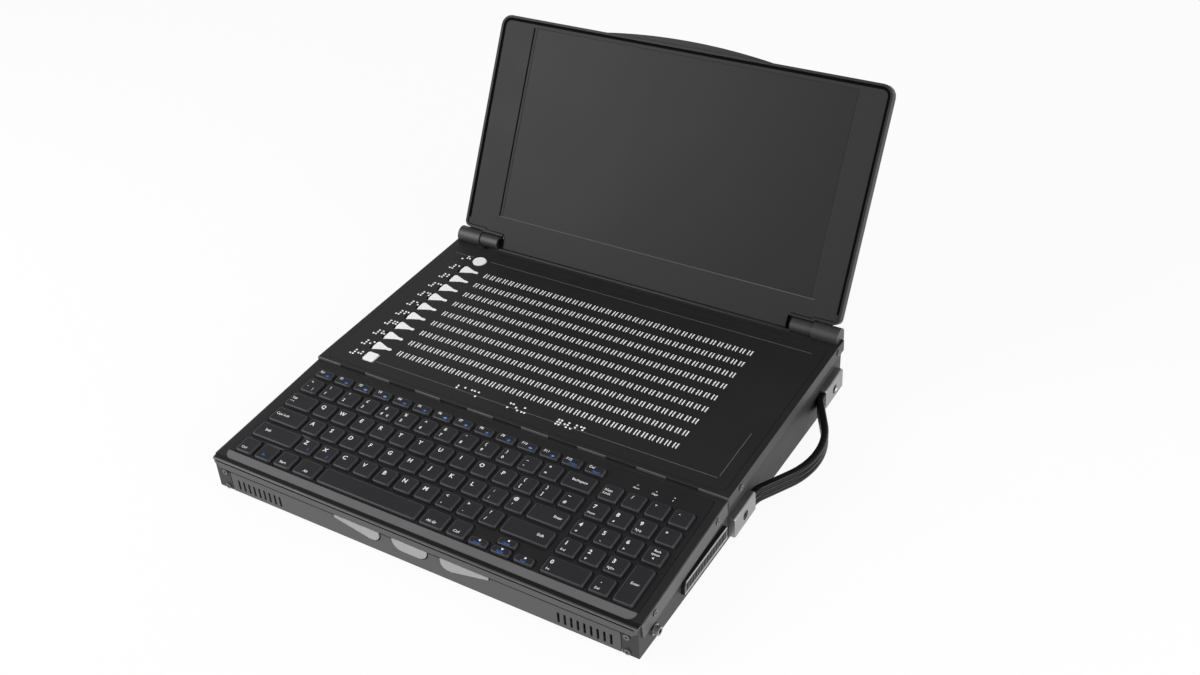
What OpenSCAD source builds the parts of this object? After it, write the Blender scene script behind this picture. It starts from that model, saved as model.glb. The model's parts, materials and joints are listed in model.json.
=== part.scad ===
// Multi-line braille display with a fold-up screen and a keyboard deck.
// Millimetres, +X to the right, +Y to the rear, +Z up.
// The origin is the middle of the bounding box, on the surface it stands on.

/* [Case] */
// Width of the case over the deck flanges
case_w = 355; // [330:1:390]
// Depth of the keyboard deck, seen from above
keyboard_d = 120; // [112:0.5:134]
// Depth of the display deck, seen from above
display_d = 194; // [180:1:214]
// Height of the rubber feet
feet_h = 2; // [1.5:0.5:5]
// Height of the front edge above the underside of the case
front_h = 27; // [24:0.5:32]
// Slope of the keyboard deck in degrees
keyboard_tilt = 4.7; // [4:0.1:6]
// Slope of the display deck in degrees
display_tilt = 2; // [1:0.1:3]
// Step from the keyboard deck up to the display deck
deck_step = 2.3; // [2:0.1:4]
// Thickness of the folded case sheets
sheet = 1.2; // [0.8:0.1:1.5]
// Thickness of the keyboard deck plate
keyboard_plate = 1.5; // [1:0.1:2]
// Height of the display deck's flanges on the sides
flange_h = 9.5; // [8:0.5:11]
// Height of the keyboard deck's flanges on the sides
keyboard_flange_h = 11.5; // [9:0.5:13]
// Height of the front flange
front_flange_h = 8.2; // [7:0.2:9]
// Overhang of the keyboard deck over its front flange
front_lip = 0.4; // [0.3:0.1:1.2]
// Gap where two sheets lie side by side
seam = 0.1; // [0.05:0.05:0.2]
// Open joint between the front panel and the corner returns
joint_gap = 0.5; // [0.2:0.1:0.8]
// Radius of a rubber foot
foot_r = 8; // [6:0.5:10]

/* [Braille lines] */
// Number of cells in a line
cells = 40; // [20:1:40]
// Distance from cell to cell
cell_pitch = 6.2; // [6:0.05:6.3]
// Distance between the two dot columns of a cell
dot_pitch = 2.5; // [2.3:0.05:2.7]
// Distance from the deck's front edge to the front line
first_line = 31.8; // [29:0.2:33]
// Distance from the rear line to the deck's rear edge
rear_strip = 44.7; // [43:0.1:50]
// Clearance between the turning wheels of two lines
wheel_gap = 1.05; // [0.6:0.05:2]
// Thickness of a dot wheel
wheel_t = 1.05; // [1:0.05:1.5]
// Radius of a line's axle
axle_r = 1.5; // [1.2:0.1:2]
// Running clearance of the axles and pins
running = 0.05; // [0.03:0.01:0.08]
// Clearance of a wheel in its slot
slot_clear = 0.15; // [0.1:0.05:0.25]
// Thickness of the braille plate
plate_t = 0.6; // [0.4:0.1:0.8]
// Width of the deck border round the braille plate
plate_border = 5.2; // [4.6:0.1:8]
// Gap round the braille plate
plate_gap = 0.3; // [0.2:0.05:0.5]

/* [Deck buttons] */
// Distance of the button column from the first dot column
button_offset = 16.6; // [16:0.1:17.4]
// Length of a line pointer
pointer_l = 17.8; // [16:0.2:18.4]
// Gap between two line pointers
pointer_gap = 4.1; // [3.4:0.1:5]
// Diameter of the round button
round_d = 12.4; // [10:0.2:12.6]
// Side of the square button
square_d = 10.8; // [9:0.2:11.4]
// Height of the deck buttons above the plate
button_proud = 0.5; // [0.3:0.1:0.8]
// Travel of the deck buttons
button_travel = 0.8; // [0.5:0.1:1]
// Clearance round a deck button
button_clear = 0.2; // [0.1:0.05:0.3]

/* [Keyboard] */
// Width of the deck beside the keyboard
deck_border = 7.43; // [6:0.01:10]
// Depth of the deck in front of the keyboard
keyboard_front = 4.8; // [4:0.1:8]
// Depth of the deck behind the keyboard
keyboard_back = 2.4; // [1.6:0.1:5]
// Gap between two keys at their skirts
key_gap = 2.9; // [2.4:0.1:3.4]
// Row pitch of the shallow function keys
function_pitch = 11.4; // [10:0.1:11.8]
// Height of the key tops above the deck
key_proud = 2.4; // [2:0.1:3]
// Height of a key
key_h = 3.9; // [3.4:0.1:4.4]
// Slope of a key's sides, as the width lost at each side
key_draft = 0.7; // [0.4:0.05:0.9]
// Travel of the keys
key_travel = 1.8; // [1:0.1:2]
// Clearance of a key in its well
key_clear = 0.4; // [0.3:0.05:0.6]
// Rim of the keyboard beside the keys
tray_rim = 4.2; // [2.6:0.1:5]
// Rim of the keyboard behind the keys
tray_rear = 7.8; // [4:0.1:9]
// Sloping rim of the keyboard in front of the keys
tray_front = 7.4; // [6:0.1:9]
// Thickness of the keyboard
tray_t = 6; // [5.5:0.1:7]

/* [Front] */
// Width of the side panels' returns round the front corners
return_w = 12.6; // [11:0.2:16]
// Gap between the outer vent slot and the corner return
vent_margin = 7.6; // [5:0.2:12]
// Number of vent slots on each side
vents = 9; // [5:1:10]
// Distance from vent to vent
vent_pitch = 4.87; // [4:0.1:5.2]
// Width of a vent slot
vent_w = 1.6; // [1.2:0.1:2]
// Height of a vent slot
vent_h = 7.6; // [6:0.2:8]
// Length of an outer thumb key
thumb_outer_l = 40; // [34:1:44]
// Length of the middle thumb key
thumb_middle_l = 30.4; // [26:0.4:34]
// Height of the thumb keys
thumb_h = 9.6; // [8:0.2:10]
// Gap between two thumb keys
thumb_gap = 10; // [8:0.5:14]
// Travel of the thumb keys
thumb_travel = 1.5; // [1:0.1:2]
// Clearance round a thumb key
thumb_clear = 0.2; // [0.1:0.05:0.3]

/* [Lid] */
// Distance of the lid's side edges from the case's sides
lid_inset = 4.5; // [3.5:0.1:6]
// Distance from the hinge axis to the lid's free edge
lid_reach = 189.5; // [175:0.5:191]
// Thickness of the lid
lid_t = 7.3; // [6.8:0.1:9]
// Angle that the lid stands open
lid_open = 120; // [100:1:125]
// Height of the hinge axis above the display deck
hinge_h = 3.2; // [3:0.1:4]
// Distance of the hinge axis in front of the rear edge
hinge_back = 2.4; // [2:0.1:3]
// Gap between the closed lid and the deck
lid_gap = 0.6; // [0.4:0.1:1]
// Radius of the outer knuckles on the case
knuckle_r = 7.2; // [6.8:0.1:7.6]
// Radius of the hinge barrels on the lid
barrel_r = 6; // [5.4:0.1:6.2]
// Radius of the hinge pins
pin_r = 2; // [1.6:0.1:2.4]
// Width of the lid's rim
lid_rim = 2; // [1.6:0.1:2.6]
// Wall of the lid's back
lid_wall = 1.2; // [1:0.1:1.5]
// Bezel left of the screen
bezel_left = 35.3; // [12:0.1:50]
// Bezel right of the screen
bezel_right = 26.7; // [12:0.1:50]
// Bezel between the hinge axis and the screen
bezel_low = 23; // [21:0.5:40]
// Bezel over the screen
bezel_top = 7; // [6:0.5:20]
// Width of the finger tab on the free edge
tab_w = 150; // [100:1:180]
// Height of the finger tab
tab_h = 5; // [3:0.5:8]

/* [Handle] */
// Length of a handle bracket
bracket_l = 31; // [26:1:34]
// Height of a handle bracket
bracket_h = 17; // [16:0.5:21]
// Depth of a handle bracket
bracket_t = 5.6; // [5.4:0.1:8]
// How far the front bracket reaches in front of the display deck
bracket_ahead = -1; // [-3:0.5:8]
// Distance from the rear bracket to the rear edge
bracket_behind = 10.5; // [6:0.5:20]
// Thickness of the strap
strap_t = 5.2; // [4.5:0.1:5.3]
// Height of the strap
strap_h = 13; // [11:0.5:14]
// How far the strap bows out from its brackets
strap_bow = 22.4; // [18:0.2:30]

/* [Sockets] */
// Radius of the headphone socket's bore
phone_r = 1.8; // [1.75:0.05:1.9]
// Radius of the power inlet's bore
power_r = 2.8; // [2.6:0.05:3.2]
// Depth of the sockets' bores
socket_depth = 12; // [10:0.5:14]

/* [Hidden] */
$fn = 48;

// A small overlap that makes a cut run clear through its piece
cut = 0.5;
// Steps of a rounded corner
corner_steps = 4;

// Frames of the two decks
front_top = feet_h + front_h;
deck_front = front_top + keyboard_d * tan(keyboard_tilt) + deck_step;
keyboard_l = keyboard_d / cos(keyboard_tilt);
display_l = display_d / cos(display_tilt);
case_d = keyboard_d + display_d;

// Walls of the lower case, inside the deck flanges
wall_x = case_w / 2 - sheet - seam;
front_sheet = 0.8;
wall_front = front_lip + front_sheet + seam;
wall_rear = case_d - sheet - seam;
floor_z = feet_h + sheet;
base_top = floor_z + sheet;
deck_overlap = 6;
bottom_flange = 30;
return_x = wall_x - return_w;

// Braille field, with one node for each line
lines = 9;
line_pitch = (display_d - first_line - rear_strip) / (lines - 1);
wheel_corner = (line_pitch - wheel_gap) / 2;
wheel_flat = wheel_corner * cos(22.5);
pointer_w = line_pitch - pointer_gap;
field_w = (cells - 1) * cell_pitch + dot_pitch;
wheel_drop = 0.15;
axle_z = -wheel_drop - wheel_flat;
slot_w = wheel_t + 2 * slot_clear;
slot_reach = wheel_flat + wheel_drop - plate_t;
slot_l = 2 * sqrt(pow(wheel_corner, 2) - pow(slot_reach, 2)) + 2 * slot_clear;
window_w = case_w - 2 * plate_border;
window_front = 3.4;
lip_pitch = 47.5;
lip_half = 11.4;
lip_back = 0.5;
window_r = 6;
frame_t = 2.5;
frame_in = field_w / 2 + wheel_t / 2 + 1.2;
frame_out = frame_in + frame_t;
frame_front = first_line - 9;
frame_rear = first_line + (lines - 1) * line_pitch + 9;
motor_l = 14;
motor_r = wheel_flat + wheel_drop - plate_t - 0.3;
motor_bore = 8;

// Hinge and lid, in the display deck's frame
hinge_y = display_l - hinge_back;
lid_w = case_w - 2 * lid_inset;
lid_front = hinge_h - lid_gap;
lid_back = lid_t - lid_front;
hinge_side_gap = 2.2;
hinge_seam = 0.3;
barrel_l = 17.5;
barrel_in = lid_w / 2 - 37.2;
barrel_out = barrel_in + barrel_l;
knuckle_in = barrel_out + hinge_seam;
knuckle_out = case_w / 2 - hinge_side_gap;
hub_clear = 0.5;
band_low = -5.5;
hub_r = sqrt(pow(band_low, 2) + pow(max(lid_back, lid_front), 2)) + hub_clear;
notch_front = hinge_y - hub_r - 0.8;
notch_x = barrel_out + hinge_seam / 2;
trough_z = hinge_h - hub_r - 1;
window_rear = notch_front - 2 * sheet - 3.4;
window_d = window_rear - window_front;
side_low = knuckle_r + 0.8;
barrel_edge = barrel_r + hub_clear;
end_pocket = 4.5;
pocket_sill = 1.6;
bezel_drop = 1;
bezel_t = 1.2;
bezel_gap = 0.3;
screen_low = bezel_low;
screen_w = lid_w - bezel_left - bezel_right;
screen_h = lid_reach - bezel_low - bezel_top;
screen_x = (bezel_left - bezel_right) / 2;
leaf_t = 1.2;
leaf_l = 14;
tab_t = 3.5;

// Keyboard layout in key pitches, left to right
function repeat(value, count) = [for (i = [1:count]) value];
block_units = 14.5;
numpad_units = 14.65;
layout_units = numpad_units + 4;
rows = [
    repeat(block_units / 14, 14),
    concat(repeat(1, 13), [1.5]),
    concat([1.5], repeat(1, 13)),
    concat([1.75], repeat(1, 11), [1.75]),
    concat([2.25], repeat(1, 10), [2.25]),
    [1, 1, 1, 1.25, 5, 1.25, 1]
];
key_pitch = (case_w - 2 * (deck_border + tray_rim + key_clear) + key_gap) / layout_units;
row_pitch = (keyboard_l - keyboard_front - tray_front - tray_rear - keyboard_back - function_pitch + key_gap) / 5;
key_d = row_pitch - key_gap;
tray_low = keyboard_front;
front_row = tray_low + tray_front + key_d / 2;
function_d = function_pitch - key_gap;
half_gap = 2 * key_clear - 0.2;
half_d = (key_d - half_gap) / 2;
layout_left = -layout_units * key_pitch / 2;
number_row = front_row + 4 * row_pitch;
function_row = number_row + (row_pitch + function_pitch) / 2;
tray_w = case_w - 2 * deck_border;
tray_high = function_row + function_d / 2 + tray_rear;
tray_r = 5.5;
tray_gap = 0.3;
tray_top = 0.3;
tray_floor = 1.2;
tray_slope = 1.1;
tray_ledge = 2;
key_low = key_proud - key_h;
key_r = 2;

// Front panel details
front_flange_z = front_top - front_flange_h;
thumb_z = front_flange_z - 0.4;
vent_outer = return_x - vent_margin;
vent_low = feet_h + 2.4;
thumb_proud = 1;
thumb_flange = 1;

// Boards inside the case
board_x = frame_in - 24;
board_front = keyboard_d + 30;
board_rear = case_d - 32;
board_t = 1.6;
board_edge = 2;
post_r = 3;
post_h = 5;
post_inset = 10;
chip_h = 2.4;

// Handle, in the display deck's frame
handle_drop = 27.2;
bracket_z = -handle_drop - bracket_h / 2;
bracket_x = wall_x;
bracket_front = -bracket_ahead;
bracket_rear = display_l - bracket_behind - bracket_l;
strap_mid_z = -handle_drop;
strap_x = bracket_x + bracket_t / 2;
strap_fit = 0.15;
pocket_d = 9;
tongue_t = 2.4;
strap_start = bracket_front + bracket_l;
strap_half = (bracket_rear - strap_start) / 2;
strap_lean = 30;
strap_sum = (strap_half * sin(strap_lean) - strap_bow * cos(strap_lean)) / (1 - cos(strap_lean));
strap_r1 = 20;
strap_r2 = strap_sum - strap_r1;
strap_groove = 0.7;
rib_h = 3;
rib_pitch = 4.4;

// Screws
screw_r = 2.3;
screw_head = 0.9;
shank_r = 1.2;
shank_clear = 0.05;
keyboard_screws = [19, keyboard_d - 16];
keyboard_screw_z = 3.6;
corner_notch = 4;
display_screws = [18, display_d - 11];
corner_screw_x = return_x + 4;
corner_screws = [feet_h + 2.8, front_flange_z - 3];

// Sockets on the side walls
phone_pos = [18, feet_h + 12];
power_pos = [keyboard_d + 110, feet_h + 14];
grille_gap = 6;
grille_l = 60;
grille_rear = keyboard_d + bracket_front - grille_gap;
grille_y = [grille_rear - grille_l, grille_rear];
grille_z = [feet_h + 8.6, feet_h + 19.2];
grille_t = 3;
grille_ribs = 26;
grille_rim = 2.2;
speaker_t = 10;
speaker_inset = 6;

// Bounding box, which places the origin
lid_angle = 180 - lid_open + display_tilt;
hinge_y_case = keyboard_d + hinge_y * cos(display_tilt) - hinge_h * sin(display_tilt);
lid_far = lid_reach + tab_h;
box_rear = hinge_y_case + lid_far * cos(lid_angle) + lid_back * sin(lid_angle);
box_right = strap_x + strap_bow + strap_t / 2;
middle_x = (box_right - case_w / 2 - screw_head) / 2;
middle_y = box_rear / 2;

// Frames and outlines

module placed() translate([-middle_x, -middle_y, 0]) children();

module keyboard_frame() placed() translate([0, 0, front_top]) rotate([keyboard_tilt, 0, 0]) children();

module deck_place() translate([0, keyboard_d, deck_front]) rotate([display_tilt, 0, 0]) children();

module display_frame() placed() deck_place() children();

module lid_frame() display_frame() translate([0, hinge_y, hinge_h]) rotate([-lid_open, 0, 0]) children();

module both_sides() {
    children();
    mirror([1, 0, 0]) children();
}

function arc(x, y, r, from, to, steps) =
    [for (i = [0:steps]) let (a = from + (to - from) * i / steps) [x + r * cos(a), y + r * sin(a)]];

function round_rect(w, d, r) = concat(
    arc(w / 2 - r, d / 2 - r, r, 0, 90, corner_steps),
    arc(r - w / 2, d / 2 - r, r, 90, 180, corner_steps),
    arc(r - w / 2, r - d / 2, r, 180, 270, corner_steps),
    arc(w / 2 - r, r - d / 2, r, 270, 360, corner_steps));

module slab(w, d, r, low, high) translate([0, 0, low]) linear_extrude(high - low) polygon(round_rect(w, d, r));

module box(low, high) translate(low) cube(high - low);

// A bar along X from one place to another
module bar_x(r, from, to) translate([from, 0, 0]) rotate([0, 90, 0]) cylinder(r = r, h = to - from);

// A bar along Y from one place to another
module bar_y(r, from, to) translate([0, from, 0]) rotate([-90, 0, 0]) cylinder(r = r, h = to - from);

// Heights of the undersides of the decks above a place on the depth of the case
function under_keyboard(y) = front_top + y * tan(keyboard_tilt) - keyboard_plate / cos(keyboard_tilt) - 2 * seam;
function under_display(y) = deck_front + (y - keyboard_d) * tan(display_tilt) - sheet / cos(display_tilt) - 2 * seam;

// Top of the rear wall, under the trough
rear_top = under_display(wall_rear) + trough_z - 1;

// Lower case

module base_pan() color("#1d1d1f") placed() {
    box([-wall_x + sheet + seam, wall_front + sheet + seam, floor_z],
        [wall_x - sheet - seam, wall_rear - sheet - seam, base_top]);
    for (x = [-1, 1], y = [board_front + post_inset, board_rear - post_inset])
        translate([x * (board_x - post_inset), y, base_top]) cylinder(r = post_r, h = post_h);
}

// Wall, corner returns and bottom flange of a side, folded from one sheet
module side_wall() {
    top = deck_overlap + keyboard_d + 2 * seam;
    translate([wall_x - sheet, 0, 0]) rotate([90, 0, 90]) linear_extrude(sheet) polygon([
        [wall_front, feet_h], [wall_rear, feet_h], [wall_rear, under_display(wall_rear)],
        [top, under_display(top)], [top, under_keyboard(top)], [wall_front, under_keyboard(wall_front)]]);
    box([return_x, wall_front, feet_h], [wall_x, wall_front + sheet, front_flange_z + 4]);
    box([return_x, wall_rear - sheet, feet_h], [wall_x, wall_rear, rear_top]);
    box([wall_x - bottom_flange, wall_front + 2 * sheet, feet_h], [wall_x, wall_rear - 2 * sheet, floor_z]);
}

// Screw holes in the front returns
module corner_holes() for (z = corner_screws)
    translate([corner_screw_x, 0, z]) bar_y(shank_r + shank_clear, wall_front - cut, wall_front + sheet + cut);

module left_side_panel() color("#232326") placed() difference() {
    mirror([1, 0, 0]) side_wall();
    mirror([1, 0, 0]) corner_holes();
    translate([0, power_pos[0], power_pos[1]]) bar_x(power_r + 2, -wall_x - cut, -wall_x + sheet + cut);
}

module right_side_panel() color("#232326") placed() difference() {
    side_wall();
    corner_holes();
    translate([0, phone_pos[0], phone_pos[1]]) bar_x(phone_r + 1.4, wall_x - sheet - cut, wall_x + cut);
    box([wall_x - sheet - cut, grille_y[0] + grille_rim, grille_z[0] + grille_rim],
        [wall_x + cut, grille_y[1] - grille_rim, grille_z[1] - grille_rim]);
    deck_place() for (y = [bracket_front, bracket_rear]) translate([0, y + bracket_l / 2, strap_mid_z])
        bar_x(2 + shank_clear, wall_x - sheet - cut, wall_x + cut);
}

// Outline of a thumb key that tapers to the left; grow widens it all round
function thumb_outer(l, h, grow) = concat(
    [[-l / 2 - grow, grow], [-l / 2 - grow, -2.4 - grow], [l / 2 - 9, -h - grow]],
    arc(l / 2 - 6, 6 - h, 6 + grow, -90, 0, corner_steps),
    [[l / 2 + grow, grow]]);

function thumb_middle(l, h, grow) = concat(
    arc(8 - l / 2, 8 - h, 8 + grow, 180, 270, corner_steps),
    arc(l / 2 - 8, 8 - h, 8 + grow, 270, 360, corner_steps),
    [[l / 2 + grow, grow], [-l / 2 - grow, grow]]);

thumb_side_x = thumb_middle_l / 2 + thumb_gap + thumb_outer_l / 2;

// A thumb key's outline at its place in the front panel, facing forwards
module thumb_prism(x, outline, from, to) translate([x, to, thumb_z]) rotate([90, 0, 0])
    linear_extrude(to - from) polygon(outline);

module front_panel() color("#2b2b2e") placed() difference() {
    box([-return_x + joint_gap, wall_front, feet_h], [return_x - joint_gap, wall_front + sheet, front_flange_z + 4]);
    both_sides() {
        for (i = [0:vents - 1]) translate([vent_outer - i * vent_pitch, 0, vent_low + vent_w / 2]) {
            bar_y(vent_w / 2, wall_front - cut, wall_front + sheet + cut);
            box([-vent_w / 2, wall_front - cut, 0], [vent_w / 2, wall_front + sheet + cut, vent_h - vent_w]);
            translate([0, 0, vent_h - vent_w]) bar_y(vent_w / 2, wall_front - cut, wall_front + sheet + cut);
        }
        mirror([1, 0, 0]) thumb_prism(-thumb_side_x, thumb_outer(thumb_outer_l, thumb_h, thumb_clear),
            wall_front - cut, wall_front + sheet + cut);
    }
    thumb_prism(0, thumb_middle(thumb_middle_l, thumb_h, thumb_clear), wall_front - cut, wall_front + sheet + cut);
}

module rear_panel() color("#232326") placed()
    box([-return_x + seam, wall_rear - sheet, feet_h],
        [return_x - seam, wall_rear, rear_top]);

module rubber_feet() color("#101010") placed() both_sides() for (y = [24, case_d - 24])
    translate([wall_x - 20, y, 0]) cylinder(r = foot_r, h = feet_h);

// Decks

module display_deck() color("#18181a") display_frame() {
    difference() {
        union() {
            box([-case_w / 2, lip_back, -sheet], [case_w / 2, display_l, 0]);
            both_sides() box([case_w / 2 - sheet, 0, -flange_h], [case_w / 2, display_l, 0]);
            box([-case_w / 2, display_l - sheet, -flange_h], [case_w / 2, display_l, 0]);
        }
        translate([0, (window_front + window_rear) / 2, 0]) slab(window_w, window_d, window_r, -sheet - cut, cut);
        box([-notch_x, notch_front, trough_z], [notch_x, display_l + cut, cut]);
        both_sides() for (y = display_screws) translate([0, y, -flange_h / 2])
            bar_x(shank_r + shank_clear, case_w / 2 - sheet - cut, case_w / 2 + cut);
    }
    // Trough that the lid's lower band swings through
    box([-notch_x - sheet, notch_front - sheet, trough_z - sheet], [notch_x + sheet, display_l, trough_z]);
    box([-notch_x - sheet, notch_front - sheet, trough_z - sheet], [notch_x + sheet, notch_front, 0]);
    both_sides() box([notch_x, notch_front - sheet, trough_z - sheet], [notch_x + sheet, display_l, 0]);
    // Tabs along the front lip
    for (i = [-3.5:1:3.5])
        box([max(-case_w / 2, i * lip_pitch - lip_half), 0, seam - deck_step],
            [min(case_w / 2, i * lip_pitch + lip_half), sheet, 0]);
}

// A line pointer, rounded at the back and drawn out to a thin tip on the right
function pointer(grow) = let (r = 2.2, back = -pointer_l / 2, tip = 1.2, neck = pointer_l / 2 - 4.7, slope = 21.3)
    concat(
        arc(back + r, r - pointer_w / 2, r + grow, 180, 270 + slope, corner_steps),
        [[neck, -tip - grow]],
        arc(pointer_l / 2 - tip, 0, tip + grow, -90, 90, corner_steps),
        [[neck, tip + grow]],
        arc(back + r, pointer_w / 2 - r, r + grow, 90 - slope, 180, corner_steps));

button_x = -field_w / 2 - button_offset;
function line_y(n) = first_line + (lines - n) * line_pitch;
round_y = line_y(1) + line_pitch + 0.9;
square_y = line_y(lines) - line_pitch + 0.8;

module round_outline(grow) circle(d = round_d + 2 * grow);
module square_outline(grow) polygon(round_rect(square_d + 2 * grow, square_d + 2 * grow, 1.8 + grow));
module pointer_outline(grow) polygon(pointer(grow));

module braille_plate() color("#141416") display_frame() translate([0, 0, -plate_t]) linear_extrude(plate_t) difference() {
    translate([0, (window_front + window_rear) / 2])
        polygon(round_rect(window_w - 2 * plate_gap, window_d - 2 * plate_gap, window_r - plate_gap));
    for (n = [1:lines], c = [0:cells - 1], d = [0, 1])
        translate([c * cell_pitch + d * dot_pitch - field_w / 2, line_y(n)]) square([slot_w, slot_l], center = true);
    for (n = [1:lines]) translate([button_x, line_y(n)]) pointer_outline(button_clear);
    translate([button_x, round_y]) round_outline(button_clear);
    translate([button_x, square_y]) square_outline(button_clear);
}

module keyboard_deck() color("#161618") {
    keyboard_frame() difference() {
        union() {
            box([-case_w / 2, 0, -keyboard_plate], [case_w / 2, keyboard_l + deck_overlap, 0]);
            both_sides() box([case_w / 2 - sheet, corner_notch, -keyboard_flange_h],
                [case_w / 2, keyboard_l - (keyboard_flange_h + deck_step) * tan(keyboard_tilt) - 4 * seam, 0]);
        }
        translate([0, (tray_low + tray_high) / 2, 0])
            slab(tray_w + 2 * tray_gap, tray_high - tray_low + 2 * tray_gap, tray_r, -keyboard_plate - cut, cut);
        both_sides() {
            for (y = keyboard_screws) translate([0, y, -keyboard_screw_z])
                bar_x(shank_r + shank_clear, case_w / 2 - sheet - cut, case_w / 2 + cut);
            // Corners cut back to the side walls, where the front and side flanges meet
            box([wall_x, -cut, -keyboard_plate - cut], [case_w / 2 + cut, corner_notch, cut]);
            // The rear strip lies under the display deck, inside its flanges
            box([wall_x, keyboard_l - seam, -keyboard_plate - cut], [case_w / 2 + cut, keyboard_l + 2 * deck_overlap, cut]);
        }
    }
    placed() translate([0, front_lip + front_sheet, 0]) rotate([90, 0, 0]) linear_extrude(front_sheet) polygon([
        [4.5 - wall_x, front_flange_z], [wall_x - 4.5, front_flange_z],
        [wall_x - 0.5, front_flange_z + 3.5], [wall_x - 0.5, front_top - 1],
        [0.5 - wall_x, front_top - 1], [0.5 - wall_x, front_flange_z + 3.5]]);
}

// Keys as [x, y, width, depth] in the keyboard's frame

function start(widths, i) = i == 0 ? 0 : start(widths, i - 1) + widths[i - 1];
function key_at(from, units, y, d) =
    [layout_left + (from + units / 2) * key_pitch, y, units * key_pitch - key_gap, d];
function row_y(r) = r == 0 ? function_row : front_row + (5 - r) * row_pitch;
function row_keys(r) = [for (i = [0:len(rows[r]) - 1])
    key_at(start(rows[r], i), rows[r][i], row_y(r), r == 0 ? function_d : key_d)];
half_step = (half_d + half_gap) / 2;
arrow_keys = [
    key_at(11.5, 1, row_y(5) - half_step, half_d), key_at(12.5, 1, row_y(5) - half_step, half_d),
    key_at(12.5, 1, row_y(5) + half_step, half_d), key_at(13.5, 1, row_y(5) - half_step, half_d)];
pad_keys = concat(
    [for (r = [1:3], c = [0:3]) key_at(numpad_units + c, 1, row_y(r), key_d)],
    [for (c = [0:2]) key_at(numpad_units + c, 1, row_y(4), key_d)],
    [key_at(numpad_units, 2, row_y(5), key_d), key_at(numpad_units + 2, 1, row_y(5), key_d),
     key_at(numpad_units + 3, 1, (row_y(4) + row_y(5)) / 2, key_d + row_pitch)]);
all_keys = concat([for (r = [0:5]) each row_keys(r)], arrow_keys, pad_keys);

module keyboard_tray() color("#26262a") keyboard_frame() {
    depth = tray_high - tray_low;
    slope_run = tray_front - key_clear - 0.6;
    difference() {
        union() {
            intersection() {
                translate([0, (tray_low + tray_high) / 2, 0]) slab(tray_w, depth, tray_r, tray_top - tray_t, tray_top);
                rotate([90, 0, 90]) linear_extrude(tray_w + 2 * cut, center = true) polygon([
                    [tray_low - cut, -tray_t - cut], [tray_high + cut, -tray_t - cut], [tray_high + cut, tray_top + cut],
                    [tray_low + slope_run * (1 + cut / tray_slope), tray_top + cut],
                    [tray_low - cut, tray_top - tray_slope * (1 + cut / slope_run)]]);
            }
            // Ledges that hold the tray up against the underside of the deck
            box([-tray_w / 2 - tray_ledge, tray_low + tray_r, tray_top - tray_t],
                [tray_w / 2 + tray_ledge, tray_high - tray_r, -keyboard_plate]);
        }
        translate([0, 0, tray_top - tray_t + tray_floor]) linear_extrude(tray_t) for (k = all_keys)
            translate([k[0], k[1]]) polygon(round_rect(k[2] + 2 * key_clear, k[3] + 2 * key_clear, key_r));
    }
}

// A key with sloping sides and a flat top
module key_cap(k) translate([k[0], k[1], key_low]) intersection() {
    linear_extrude(key_h) polygon(round_rect(k[2], k[3], key_r));
    rotate([90, 0, 0]) linear_extrude(k[3] + 2 * cut, center = true) polygon(key_side(k[2]));
    rotate([90, 0, 90]) linear_extrude(k[2] + 2 * cut, center = true) polygon(key_side(k[3]));
}
function key_side(w) = [[-w / 2, 0], [w / 2, 0], [w / 2, key_h / 2], [w / 2 - key_draft, key_h],
    [key_draft - w / 2, key_h], [-w / 2, key_h / 2]];

module key_group(keys) color("#1b1b1f") keyboard_frame() for (k = keys) key_cap(k);

// Braille mechanism

module rotor_line(n) color("#e9e7df") display_frame() translate([0, line_y(n), axle_z]) {
    bar_x(axle_r, -frame_out + 0.2, frame_out + motor_bore - 0.5);
    for (c = [0:cells - 1], d = [0, 1])
        translate([c * cell_pitch + d * dot_pitch - field_w / 2 - wheel_t / 2, 0, 0])
            rotate([0, 90, 0]) rotate([0, 0, 22.5]) cylinder(r = wheel_corner, h = wheel_t, $fn = 8);
}

// Side plate of the mechanism, from the base pan up to the braille plate
module rotor_frame() difference() {
    intersection() {
        display_frame() box([frame_in, frame_front, -60], [frame_out, frame_rear, -plate_t]);
        placed() box([0, 0, base_top], [case_w, case_d, 80]);
    }
    display_frame() for (n = [1:lines]) translate([0, line_y(n), axle_z])
        bar_x(axle_r + running, frame_in - cut, frame_out + cut);
}

module rotor_frame_right() color("#8a8d91") rotor_frame();

module rotor_frame_left() color("#8a8d91") translate([-2 * middle_x, 0, 0]) mirror([1, 0, 0]) rotor_frame();

module line_motors() color("#b9bbbd") display_frame() for (n = [1:lines]) translate([0, line_y(n), axle_z]) difference() {
    bar_x(motor_r, frame_out, frame_out + motor_l);
    bar_x(axle_r + running, frame_out - cut, frame_out + motor_bore);
}

// Deck buttons: a head through the plate, a flange under it and a stem over a switch
flange_top = -plate_t - 0.1;
flange_t = 1;
stem_low = -2.9;
board_z = -5;
switch_gap = 0.1;

module deck_button() color("#f4f4f2") {
    translate([0, 0, flange_top - cut / 2]) linear_extrude(button_proud - flange_top + cut / 2) children(0);
    translate([0, 0, flange_top - flange_t]) linear_extrude(flange_t) children(1);
    translate([0, 0, stem_low]) cylinder(r = 1.4, h = flange_top - flange_t - stem_low + cut / 2);
}

module flange_outline() translate([-0.6, 0]) square([pointer_l - 0.2, min(pointer_w + 1.6, line_pitch - 2)], center = true);

module line_button(n) display_frame() translate([button_x, line_y(n), 0]) deck_button() {
    pointer_outline(0);
    flange_outline();
}

module round_button() display_frame() translate([button_x, round_y, 0]) deck_button() {
    round_outline(0);
    circle(d = round_d + 1.6);
}

module square_button() display_frame() translate([button_x, square_y, 0]) deck_button() {
    square_outline(0);
    square(square_d + 1.6, center = true);
}

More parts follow.
